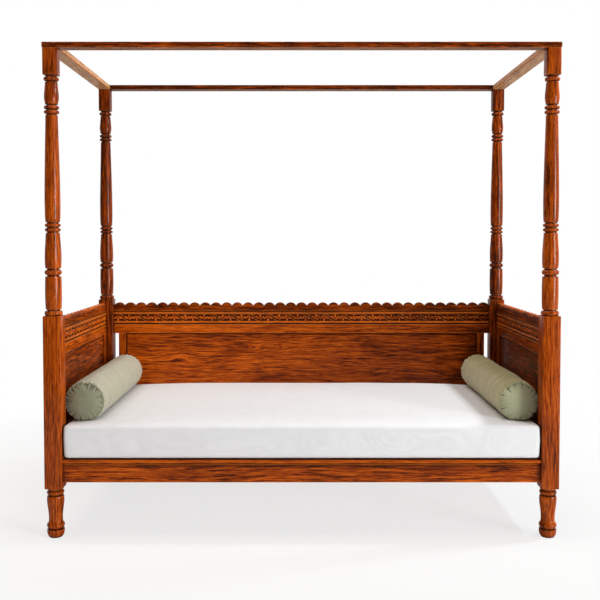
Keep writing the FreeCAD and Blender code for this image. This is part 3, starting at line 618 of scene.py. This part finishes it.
def carved_rail(name, side, run, periods, finishes, depth):
    """A rail with a band of carving on the face towards the seat, and a plain face behind."""
    put = board_place(side)
    half = CARVED_THICK / 2
    period = 2 * run / periods
    middle = (CARVED_BOTTOM + CARVED_TOP) / 2
    band = (CARVED_TOP - CARVED_BOTTOM) / 2 - 4.4 * MM
    across = 40
    steps = round(2 * run / (1.7 * MM))
    loops = []
    for count in range(steps + 1):
        along = -run + 2 * run * count / steps
        loop = [put(along, -half, CARVED_BOTTOM), put(along, half, CARVED_BOTTOM)]
        for row in range(across + 1):
            up = band * (2 * row / across - 1)
            inset = min(1.0, (band - abs(up)) / (1.2 * MM))
            cut = depth * inset * (1 - carved(along, up, period))
            loop.append(put(along, half - cut, middle + up))
        loop += [put(along, half, CARVED_TOP), put(along, -half, CARVED_TOP)]
        loops.append(loop)
    return skin(name, [loops], finishes, sharp=60.0)


def strip(name, side, run, outline, finishes):
    """A moulding of one section along a side: outline is (towards the seat, height) all round it."""
    put = board_place(side)
    loops = [[put(along, inward, z) for inward, z in outline] for along in (-run, run)]
    return skin(name, [loops], finishes, sharp=30.0)


def both_faces(line):
    """A section closed by the mirror image of its front."""
    return line + [(-inward, z) for inward, z in reversed(line)]


def upper_moulding(low, high):
    """Section of the moulding under a crest: a round nose over a small quirk, and a shadow groove on top."""
    start = (14.2 * MM, low + 1.9 * MM)
    line = [(11.5 * MM, low), (11.5 * MM, low + 1.6 * MM), start]
    line += swelled(start, (13.6 * MM, high - 5.8 * MM), 0.60)
    return both_faces(line + [(5.0 * MM, high - 5.4 * MM), (5.0 * MM, high)])


def lower_moulding(low, high):
    """Section of the moulding over a plain rail: a rounded fillet over a cove and a shadow groove."""
    start = (13.6 * MM, low + 6.4 * MM)
    line = [(13.2 * MM, low), (13.2 * MM, low + 0.8 * MM), (5.0 * MM, low + 1.0 * MM),
            (5.0 * MM, low + 5.4 * MM), (11.2 * MM, low + 5.8 * MM), start]
    return both_faces(line + swelled(start, (13.2 * MM, high), 0.75))


def front_lip(low, high):
    """Section of the lip of the front rail, as (y, height): a full round nose over a cove."""
    nose = (-488.6 * MM, low + 5.0 * MM)
    line = [(-452 * MM, low), (-483.4 * MM, low), (-483.4 * MM, low + 1.0 * MM),
            (-478.0 * MM, low + 1.4 * MM), (-478.0 * MM, low + 4.2 * MM), nose]
    line += [(-y, z) for y, z in swelled((-nose[0], nose[1]), (-nose[0], high), 1.0)]
    return line + [(-452 * MM, high)]


def sunk_panel(name, side, low, high, finishes):
    """A panel between its stiles and rails: a raised field, a bevel round it and a sunk quirk at its edge."""
    put = board_place(side)
    front = ((3.0, 0.0), (3.4, 3.2), (7.2, 3.8), (10.0, 7.0))
    loops = []
    for inward, margin in [(-inward, margin) for inward, margin in reversed(front)] + list(front):
        left, right = low[0] + margin * MM, high[0] - margin * MM
        bottom, top = low[1] + margin * MM, high[1] - margin * MM
        corners = ((left, bottom), (right, bottom), (right, top), (left, top))
        loops.append([put(along, inward * MM, z) for along, z in corners])
    return skin(name, [loops], finishes, sharp=10.0)


def wood_pieces(context):
    """The finishes of the wooden pieces, made once."""
    made = {}
    depth = context.scene.takht_wood.carving_depth
    back_face = BACK_PLANE - CARVED_THICK / 2
    side_face = SIDE_PLANE - CARVED_THICK / 2
    # In the finishes below, the darker right ends are painted shade.
    for grain in "xyz":
        made[grain] = wood(f"Stained wood along {grain}", grain, right_end_painted_shade=0.24)
        # Edges lighter by wear, and as a painted highlight.
        made["worn " + grain] = wood(f"Worn edge along {grain}", grain, tone=0.18, worn_and_highlit=True)
        made["bare " + grain] = wood(f"Bare wood along {grain}", grain, tone=0.10, bare=True)
    made["post"] = wood("Stained posts", "z", tone=-0.03, wave=0.035, wax=0.22, contrast=0.72)
    # The back posts are a darker copy of the posts' finish: painted shade.
    made["back post"] = wood("Stained posts at the back", "z", tone=-0.32, wave=0.035, wax=0.16,
                             contrast=0.72)
    made["panel"] = wood("Figured back panel", "x", wave=0.06, knots=KNOTS, right_end_painted_shade=0.34)
    # The side panels are darker than the back panel as painted shade.
    made["side panel"] = wood("Figured side panels", "y", tone=-0.20, wave=0.06, right_end_painted_shade=0.22)
    made["moulding x"] = wood("Mouldings of the back and front", "x", tone=0.14)
    made["moulding y"] = wood("Mouldings of the sides", "y", tone=0.14, right_end_painted_shade=0.22)
    made["rail"] = wood("Plain rail of the back", "x", tone=0.10, right_end_painted_shade=0.38)
    # The front rail is darker, its grooves take painted shade from far off, and a band of painted shadow lies
    # under its lip.
    made["front rail"] = wood("Bed rail of the front", "x", tone=-0.07, painted_shade_reach=30 * MM, band=PAINTED_SHADE_UNDER_LIP)
    made["crest x"] = wood("Crest of the back", "x", tone=-0.27, right_end_painted_shade=0.16)
    # The side crests get a painted highlight along their tops and strong painted light on their edges.
    made["crest y"] = wood("Crests of the sides", "y", tone=-0.24, edges=1.0, band=PAINTED_CREST_HIGHLIGHT, right_end_painted_shade=0.20)
    # The carved rails get painted shade in their ground and a painted highlight on their face.
    made["carved x"] = wood("Carved rail of the back", "x", relief=(1, back_face, depth), right_end_painted_shade=0.30)
    made["carved y"] = wood("Carved rails of the sides", "y", relief=(0, side_face, depth), right_end_painted_shade=0.22)
    # The front and back canopy boards are darker as painted shade, with less light on their edges; all canopy
    # boards are painted pale below, and the side ones inside, as light from the floor.
    made["canopy x"] = wood("Canopy board of the front", "x", tone=-0.28, under=(HEAD_TOP, None), edges=0.2)
    made["canopy back"] = wood("Canopy board of the back", "x", tone=-0.5, under=(HEAD_TOP, None), edges=0.1)
    made["canopy y"] = wood("Canopy boards of the sides", "y", tone=-0.16, under=(HEAD_TOP, CANOPY_INNER))
    return made


FINISHES = {}


def finish(key):
    """A wooden finish by its short name."""
    if not FINISHES:
        FINISHES.update(wood_pieces(bpy.context))
    return FINISHES[key]


def settle(piece, *nodes, slot="polished_wood", body="frame"):
    """Puts a piece in place of the CAD nodes that it stands for."""
    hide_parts(*nodes)
    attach(piece, body)


class TAKHT_OT_posts(bpy.types.Operator):
    """Turn the four legs and the four upper posts"""

    bl_idname = "takht.posts"
    bl_label = "Turned posts and legs"

    def execute(self, context):
        sizes = context.scene.takht_wood
        radius = sizes.post_radius
        half = sizes.block_side / 2
        head = sizes.head_side / 2
        for corner, (side, depth) in CORNERS.items():
            centre = (side * POST_X, depth * POST_Y)
            stained = finish("post" if depth < 0 else "back post")
            foot = turned(centre, FOOT_TURNING, radius, 0.0, FOOT_TOP)
            block = [
                square(centre, half - 3.0 * MM, 2.0 * MM, FOOT_TOP),
                square(centre, half - 0.7 * MM, 2.6 * MM, FOOT_TOP + 1.4 * MM),
                square(centre, half, 3.0 * MM, FOOT_TOP + 4.0 * MM),
                square(centre, half, 3.0 * MM, BLOCK_TOP - 4.5 * MM),
                square(centre, half - 1.0 * MM, 3.0 * MM, BLOCK_TOP - 1.6 * MM),
                square(centre, half - 4.5 * MM, 2.0 * MM, BLOCK_TOP)]
            leg = skin(f"{corner}_turned_leg", [foot, block], [stained])
            settle(leg, f"{corner}_leg")
            shaft = turned(centre, SHAFT_TURNING, radius, BLOCK_TOP, SHAFT_TOP)
            top = [
                square(centre, head - 1.6 * MM, 8.6 * MM, SHAFT_TOP),
                square(centre, head, 9.5 * MM, SHAFT_TOP + 1.6 * MM),
                square(centre, head, 9.5 * MM, HEAD_TOP)]
            post = skin(f"{corner}_turned_post", [shaft, top], [stained])
            settle(post, f"{corner}_upper_post")
        return {"FINISHED"}


class TAKHT_OT_crests(bpy.types.Operator):
    """Cut the scalloped crest boards of the back and the two sides"""

    bl_idname = "takht.crests"
    bl_label = "Scalloped crests"

    def execute(self, context):
        sizes = context.scene.takht_wood
        back = crest("back_scalloped_crest", "back", BACK_RUN, sizes.back_scallops, [finish("crest x")])
        settle(back, "back_crest")
        for side in ("left", "right"):
            piece = crest(f"{side}_scalloped_crest", side, SIDE_RUN, sizes.side_scallops, [finish("crest y")])
            settle(piece, f"{side}_side_crest")
        return {"FINISHED"}


class TAKHT_OT_carving(bpy.types.Operator):
    """Carve the rails under the crests"""

    bl_idname = "takht.carving"
    bl_label = "Carved rails"

    def execute(self, context):
        depth = context.scene.takht_wood.carving_depth
        back = carved_rail("back_carved_band", "back", BACK_RUN, 20, [finish("carved x")], depth)
        settle(back, "back_carved_rail")
        for side in ("left", "right"):
            piece = carved_rail(f"{side}_carved_band", side, SIDE_RUN, 9, [finish("carved y")], depth)
            settle(piece, f"{side}_side_carved_rail")
        return {"FINISHED"}


class TAKHT_OT_mouldings(bpy.types.Operator):
    """Run the mouldings above and below the carved rails, and the lip of the front rail"""

    bl_idname = "takht.mouldings"
    bl_label = "Mouldings"

    def execute(self, context):
        for side, run, grain in (("back", BACK_RUN, "x"), ("left", SIDE_RUN, "y"), ("right", SIDE_RUN, "y")):
            prefix = side if side == "back" else f"{side}_side"
            for place, section in (("upper", upper_moulding), ("lower", lower_moulding)):
                outline = section(*heights(f"{prefix}_{place}_fillet"))
                piece = strip(f"{side}_{place}_moulding", side, run, outline, [finish(f"moulding {grain}")])
                settle(piece, f"{prefix}_{place}_fillet")
        outline = front_lip(*heights("front_rail_lip"))
        loops = [[Vector((x, y, z)) for y, z in outline] for x in (-BACK_RUN, BACK_RUN)]
        lip = skin("front_lip_moulding", [loops], [finish("moulding x")], sharp=30.0)
        settle(lip, "front_rail_lip")
        return {"FINISHED"}


class TAKHT_OT_panels(bpy.types.Operator):
    """Set the figured panels of the back and the sides"""

    bl_idname = "takht.panels"
    bl_label = "Panels"

    def execute(self, context):
        low_z = heights("back_bottom_rail")[1]
        high_z = heights("back_plain_rail")[0]
        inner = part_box("back_right_stile")[0].x
        piece = sunk_panel("back_figured_panel", "back", (-inner, low_z), (inner, high_z), [finish("panel")])
        settle(piece, "back_panel")
        inner = SIDE_RUN - SIDE_STILE
        for side in ("left", "right"):
            piece = sunk_panel(f"{side}_figured_panel", side, (-inner, low_z), (inner, high_z),
                               [finish("side panel")])
            settle(piece, f"{side}_side_panel")
        return {"FINISHED"}


# The boards that keep their CAD shape, with the finish of their faces and of their eased edges.
KEPT_BOARDS = {
    "canopy_front_rail": ("canopy x", "canopy x"), "canopy_back_rail": ("canopy back", "canopy back"),
    "canopy_left_rail": ("canopy y", "worn y"), "canopy_right_rail": ("canopy y", "worn y"),
    "canopy_keys": ("bare z", "bare z"), "front_rail": ("front rail", "worn x"),
    "back_rail": ("x", "worn x"), "left_side_rail": ("y", "worn y"), "right_side_rail": ("y", "worn y"),
    "front_ledger": ("bare x", "bare x"), "back_ledger": ("bare x", "bare x"), "slats": ("bare y", "bare y"),
    "corner_blocks": ("bare z", "bare z"), "back_plain_rail": ("rail", "worn x"),
    "back_left_stile": ("z", "worn z"), "back_right_stile": ("z", "worn z"),
    "back_bottom_rail": ("x", "worn x")}
SIDE_BOARDS = {
    "plain_rail": ("y", "worn y"), "front_stile": ("z", "worn z"), "back_stile": ("z", "worn z"),
    "bottom_rail": ("y", "worn y")}


class TAKHT_OT_boards(bpy.types.Operator):
    """Finish the rails, stiles and slats that keep the frame's own shapes"""

    bl_idname = "takht.boards"
    bl_label = "Rails, stiles and slats"

    def execute(self, context):
        boards = dict(KEPT_BOARDS)
        for side in ("left", "right"):
            boards.update({f"{side}_side_{part}": pair for part, pair in SIDE_BOARDS.items()})
        for name, (face, edge) in boards.items():
            node = frame["nodes"][name]
            for piece in [node] + [child for child in node.children_recursive if child.type == "MESH"]:
                if piece.type != "MESH":
                    continue
                piece.data.materials.clear()
                piece.data.materials.append(finish(face))
                piece.data.materials.append(finish(edge))
                eased(piece)
        return {"FINISHED"}


MATTRESS_HALF = 950 * MM
MATTRESS_FRONT = -491 * MM
MATTRESS_BACK = 455 * MM
MATTRESS_BOTTOM = 318.6 * MM
MATTRESS_EDGE = 452.3 * MM
MATTRESS_TOP_ROUND = 11 * MM
MATTRESS_LOW_ROUND = 14 * MM


def mattress_mesh(crown):
    """The mattress: a rounded block with a crowned top, bulging sides and slack cloth."""
    made = bmesh.new()
    bmesh.ops.create_cube(made, size=2.0)
    for axis, cuts in ((0, 189), (1, 95), (2, 13)):
        edges = [edge for edge in made.edges if abs((edge.verts[0].co - edge.verts[1].co)[axis]) > 1.0]
        bmesh.ops.subdivide_edges(made, edges=edges, cuts=cuts, use_grid_fill=True)
    half = Vector((
        MATTRESS_HALF, (MATTRESS_BACK - MATTRESS_FRONT) / 2, (MATTRESS_EDGE - MATTRESS_BOTTOM) / 2))
    middle = Vector((0.0, (MATTRESS_BACK + MATTRESS_FRONT) / 2, (MATTRESS_EDGE + MATTRESS_BOTTOM) / 2))
    for vert in made.verts:
        share = vert.co.copy()
        point = Vector([share[axis] * half[axis] for axis in range(3)])
        soft = MATTRESS_TOP_ROUND if share.z > 0 else MATTRESS_LOW_ROUND
        inner = Vector([max(soft - half[axis], min(half[axis] - soft, point[axis])) for axis in range(3)])
        out = point - inner
        if out.length > 1e-9:
            point = inner + out.normalized() * soft
        flat = (1 - abs(share.x) ** 8) * (1 - abs(share.y) ** (24 if share.y > 0 else 10))
        if share.z > 0:
            long_way = 1 - 0.72 * abs(share.x) ** 5
            point.z += crown * flat * share.z * long_way
        elif abs(share.y) > 0.9:
            point.z += 3.0 * MM * (abs(share.y) - 0.9) * 10 * -share.z
        waves = noise.noise(Vector((point.x * 5.0, point.y * 7.0, 3.1))) * 1.3 * MM
        if share.z > 0.2:
            point.z += waves * flat
        side = (1 - share.z ** 2) * 2.4 * MM
        if abs(share.y) > 0.98:
            ripple = noise.noise(Vector((point.x * 6.0, 0.5, point.z * 9.0)))
            point.y += math.copysign(side * (0.6 + ripple), share.y)
        if abs(share.x) > 0.98:
            point.x += math.copysign(side * 0.9, share.x)
        vert.co = middle + point
    mesh = bpy.data.meshes.new("mattress_cover")
    made.to_mesh(mesh)
    made.free()
    mesh.polygons.foreach_set("use_smooth", [True] * len(mesh.polygons))
    return mesh


class TAKHT_OT_mattress(bpy.types.Operator):
    """Make the mattress in its white cotton cover"""

    bl_idname = "takht.mattress"
    bl_label = "Mattress"

    def execute(self, context):
        cloth = context.scene.takht_cloth
        mesh = mattress_mesh(cloth.mattress_crown)
        piece = placed("mattress_cover", mesh)
        mesh.materials.append(cotton("White cotton", cloth.mattress_colour, 5200.0, 0.04, 0.15))
        settle(piece, "mattress", slot="white_cotton", body="mattress")
        return {"FINISHED"}


BOLSTER_X = 884 * MM
BOLSTER_HALF = 427 * MM
BOLSTER_SEAM = 415 * MM
BOLSTER_FLOOR = heights("left_bolster")[0] + 0.4 * MM
BOLSTER_MIDDLE = heights("left_bolster")[1] - 83 * MM
BOLSTER_SEAM_SHARE = 0.925

# Of each bolster: its side, how slack its cover is, the tint of its cloth as painted light (warm light
# bounced from the wood on the right one), and the painted light and shade of its ends.
BOLSTERS = {
    "left": (-1, 0.85, (1.0, 1.0, 1.0), (0.66, 0.72, 0.68, 1.0)),
    "right": (1, 1.7, (1.12, 1.04, 0.74), (1.0, 1.18, 1.50, 1.0))}


def fold_lines(seed, count):
    """Folds round the end of a bolster: (angle, half width, reach inwards in metres, depth in metres)."""
    draw = random.Random(seed)
    lines = []
    for step in range(count):
        angle = TAU * (step + draw.uniform(-0.38, 0.38)) / count
        upper = 0.45 + 0.55 * math.sin(angle)
        width = math.radians(draw.uniform(2.6, 5.2))
        reach = draw.uniform(13, 40) * MM
        depth = draw.uniform(3.5, 6.5 + 7.0 * max(0.0, upper)) * MM
        lines.append((angle, width, reach, depth))
    return lines


def fold_depth(lines, angle, inward):
    """How far the folds sink the cloth at an angle, inward metres from the seam."""
    sunk = 0.0
    for line, width, reach, depth in lines:
        off = (angle - line + math.pi) % TAU - math.pi
        if abs(off) < 3.2 * width and inward < reach:
            u = off / width
            near = min(1.0, 0.35 + inward / (3.0 * MM))
            sunk += depth * (1 - 0.75 * u * u) * math.exp(-0.75 * u * u) * (1 - inward / reach) ** 1.1 * near
    return sunk


def bolster_rows(radius):
    """Rings of half a bolster, from the middle of its end to its body: (radius, distance along, kind)."""
    seam = radius * BOLSTER_SEAM_SHARE
    rows = []
    for step in range(30):
        share = (step / 29) ** 0.8
        dome = (BOLSTER_HALF - BOLSTER_SEAM + 2.0 * MM) * (1 - share ** 2.4)
        rows.append((seam * share, BOLSTER_SEAM - 2.0 * MM + dome, "end"))
    for out, inward, kind in ((0.5, 4.2, "seam"), (0.9, 4.3, "seam"), (1.5, 2.6, "rim"), (2.6, 3.0, "rim")):
        rows.append((seam + out * MM, BOLSTER_SEAM - inward * MM, kind))
    start_radius, start_along = seam + 2.6 * MM, BOLSTER_SEAM - 3.0 * MM
    shoulder = 24 * MM
    for step in range(1, 15):
        turn = math.pi / 2 * step / 14
        rows.append((start_radius + (radius - start_radius) * math.sin(turn),
                     start_along - shoulder * (1 - math.cos(turn)), "body"))
    return rows


def bolster(name, side, radius, count, finishes, slack):
    """A bolster: a long soft roll, its ends drawn in with short folds at a stitched seam."""
    sides = 320
    half = bolster_rows(radius)
    seam = radius * BOLSTER_SEAM_SHARE
    body_start = half[-1][1]
    steps = 80
    rows = list(half)
    rows += [(radius, body_start * (1 - 2 * step / steps), "body") for step in range(1, steps)]
    rows += [(reach, -far, kind) for reach, far, kind in reversed(half)]
    front = fold_lines(3 if side < 0 else 8, count)
    back = fold_lines(15 if side < 0 else 21, count)
    loops = []
    for reach, far, kind in rows:
        lines = back if far > 0 else front
        loop = []
        for i in range(sides):
            angle = TAU * i / sides
            ca, sa = math.cos(angle), math.sin(angle)
            y = far
            spread = reach
            if kind == "end":
                y -= math.copysign(fold_depth(lines, angle, seam - reach), far)
                puff = noise.noise(Vector((ca * reach * 26, sa * reach * 26, far * 3 + side)))
                y += math.copysign(puff * 2.4 * MM * (1 - (reach / seam) ** 2), far)
            elif kind != "seam":
                near_seam = BOLSTER_SEAM - abs(far)
                spread -= fold_depth(lines, angle, near_seam * 0.8) * 0.55
                wrinkle = noise.noise(Vector((ca * 0.9, sa * 0.9 + side, far * 17.0)))
                slow = noise.noise(Vector((ca * 0.5 + 7.0, sa * 0.5, far * 5.0)))
                crease = 1 - abs(noise.noise(Vector((ca * 1.3, sa * 1.3, far * 9.0 + 4.0 * side)))) * 7
                calm = min(1.0, near_seam / (30 * MM))
                spread += (wrinkle * 1.7 + slow * 2.2 - max(0.0, crease) * 0.9) * slack * MM * calm
            z = BOLSTER_MIDDLE + spread * sa
            low = BOLSTER_FLOOR + 3.0 * MM
            if z < low:
                z = low - 3.0 * MM * (1 - math.exp(-(low - z) / (3.0 * MM)))
            loop.append(Vector((side * BOLSTER_X + spread * ca, y, z)))
        loops.append(loop)
    return skin(name, [loops], finishes, sharp=80.0)


class TAKHT_OT_bolsters(bpy.types.Operator):
    """Make the two green bolsters"""

    bl_idname = "takht.bolsters"
    bl_label = "Bolsters"

    def execute(self, context):
        cloth = context.scene.takht_cloth
        for name, (side, slack, painted_light_tint, end_shade) in BOLSTERS.items():
            # The cloth's colour times a tint of painted light: on the right one, warm light bounced from the
            # wood.
            dye_in_painted_light = tuple(part * share for part, share in zip(cloth.bolster_colour, painted_light_tint)) + (1.0,)
            green = cotton(f"Green cotton, {name}", dye_in_painted_light, 4300.0, 0.10, 0.35, folds=0.5, shade_in_folds=0.85,
                           painted_crease_shade=1.1 * slack, end_shade=end_shade)
            cover = f"{name}_bolster_cover"
            piece = bolster(cover, side, cloth.bolster_radius, cloth.gathers, [green], slack)
            settle(piece, f"{name}_bolster", slot="green_cotton", body=f"{name}_bolster")
        return {"FINISHED"}


def lamp(name, place, aim, width, height, power, colour):
    """A soft rectangular studio lamp."""
    light = bpy.data.lights.new(name, "AREA")
    light.shape = "RECTANGLE"
    light.size = width
    light.size_y = height
    light.energy = power
    light.color = colour
    holder = placed(name, light)
    holder.location = place
    holder.rotation_euler = (Vector(aim) - Vector(place)).to_track_quat("-Z", "Y").to_euler()


class TAKHT_OT_stage(bpy.types.Operator):
    """Set the pale floor, the soft lamps and the camera"""

    bl_idname = "takht.stage"
    bl_label = "Stage"

    def execute(self, context):
        bench = Bench("Pale floor")
        paper = bench.node("ShaderNodeBsdfDiffuse", values={"Color": (0.86, 0.86, 0.86, 1), "Roughness": 0.5})
        glow = bench.node("ShaderNodeEmission", values={"Color": (1, 1, 1, 1), "Strength": 1.0})
        camera = bench.node("ShaderNodeLightPath", output="Is Camera Ray")
        x, y, _ = bench.place()
        far = ((x * x + y * y) ** 0.5 / 1.6 - 0.75).clamped()
        white_share = camera * (0.72 + far * 0.28)
        bench.end(bench.node("ShaderNodeMixShader", values={0: white_share, 1: paper, 2: glow}))
        mesh = bpy.data.meshes.new("floor")
        reach = 9.0
        mesh.from_pydata([(-reach, -reach, 0), (reach, -reach, 0), (reach, reach, 0), (-reach, reach, 0)], [],
                         [(0, 1, 2, 3)])
        mesh.materials.append(bench.finish)
        floor = placed("floor", mesh)

        world = bpy.data.worlds.new("Studio")
        world.use_nodes = True
        context.scene.world = world
        bench = Bench("Studio", world)
        seen = bench.node("ShaderNodeLightPath", output="Is Camera Ray")
        mirrored = bench.node("ShaderNodeLightPath", output="Is Glossy Ray")
        way = bench.node("ShaderNodeTexCoord", output="Generated")
        rightward = bench.node("ShaderNodeSeparateXYZ", values={0: way}, output=0)
        behind = (bench.node("ShaderNodeSeparateXYZ", values={0: way}, output=1) * 3.0).clamped()
        plain = bench.node("ShaderNodeBackground", values={
            "Color": (1.0, 0.93, 0.85, 1), "Strength": 0.28 + rightward * 0.22})
        glint = bench.node("ShaderNodeBackground", values={
            "Color": (1.0, 0.99, 0.98, 1), "Strength": 0.05 + behind * 0.85})
        white = bench.node("ShaderNodeBackground", values={"Color": (1.0, 1.0, 1.0, 1), "Strength": 1.0})
        lit = bench.node("ShaderNodeMixShader", values={0: mirrored, 1: plain, 2: glint})
        shown = bench.node("ShaderNodeMixShader", values={0: seen, 1: lit, 2: white})
        bench.end(shown, "ShaderNodeOutputWorld")

        lamp("High lamp", (2.32, -0.1, 2.95), (0.0, 0.0, 0.5), 0.26, 0.26, 55, (0.91, 0.97, 1.0))
        lamp("Strip lamp", (6.6, -5.3, 1.3), (0.0, 0.0, 0.9), 2.6, 2.4, 500, (0.96, 0.98, 1.0))
        lamp("Top lamp", (-1.2, -0.4, 4.6), (-1.2, -0.4, 0.0), 4.0, 2.6, 112, (1.0, 0.94, 0.89))

        camera_data = bpy.data.cameras.new("Camera")
        camera_data.sensor_width = 36.0
        camera_data.lens = 50.66
        camera_data.shift_x = -0.0005
        camera_data.shift_y = -0.0482
        camera = placed("Camera", camera_data)
        camera.location = (-0.006, -3.826, 1.194)
        camera.rotation_euler = (math.radians(90 - 2.137), 0.0, 0.0)
        context.scene.camera = camera
        context.scene.view_settings.view_transform = "Standard"
        return {"FINISHED"}


class TAKHT_PT_panel(bpy.types.Panel):
    """The takht's pieces, in the order they are made"""

    bl_idname = "TAKHT_PT_panel"
    bl_label = "Takht"
    bl_space_type = "VIEW_3D"
    bl_region_type = "UI"
    bl_category = "Takht"

    def draw(self, context):
        layout = self.layout
        for group in (context.scene.takht_wood, context.scene.takht_cloth):
            for key in group.bl_rna.properties.keys():
                if key not in ("rna_type", "name"):
                    layout.prop(group, key)
        for operator in OPERATORS:
            layout.operator(operator.bl_idname)


OPERATORS = (TAKHT_OT_posts, TAKHT_OT_crests, TAKHT_OT_carving, TAKHT_OT_mouldings, TAKHT_OT_panels,
             TAKHT_OT_boards, TAKHT_OT_mattress, TAKHT_OT_bolsters, TAKHT_OT_stage)
CLASSES = (TakhtWood, TakhtCloth, *OPERATORS, TAKHT_PT_panel)


def register():
    for entry in CLASSES:
        bpy.utils.register_class(entry)
    bpy.types.Scene.takht_wood = bpy.props.PointerProperty(type=TakhtWood)
    bpy.types.Scene.takht_cloth = bpy.props.PointerProperty(type=TakhtCloth)


def unregister():
    del bpy.types.Scene.takht_cloth
    del bpy.types.Scene.takht_wood
    for entry in reversed(CLASSES):
        bpy.utils.unregister_class(entry)


def main():
    register()
    takht = bpy.ops.takht
    for step in (takht.posts, takht.crests, takht.carving, takht.mouldings, takht.panels, takht.boards,
                 takht.mattress, takht.bolsters, takht.stage):
        step()


if __name__ == "__main__":
    main()
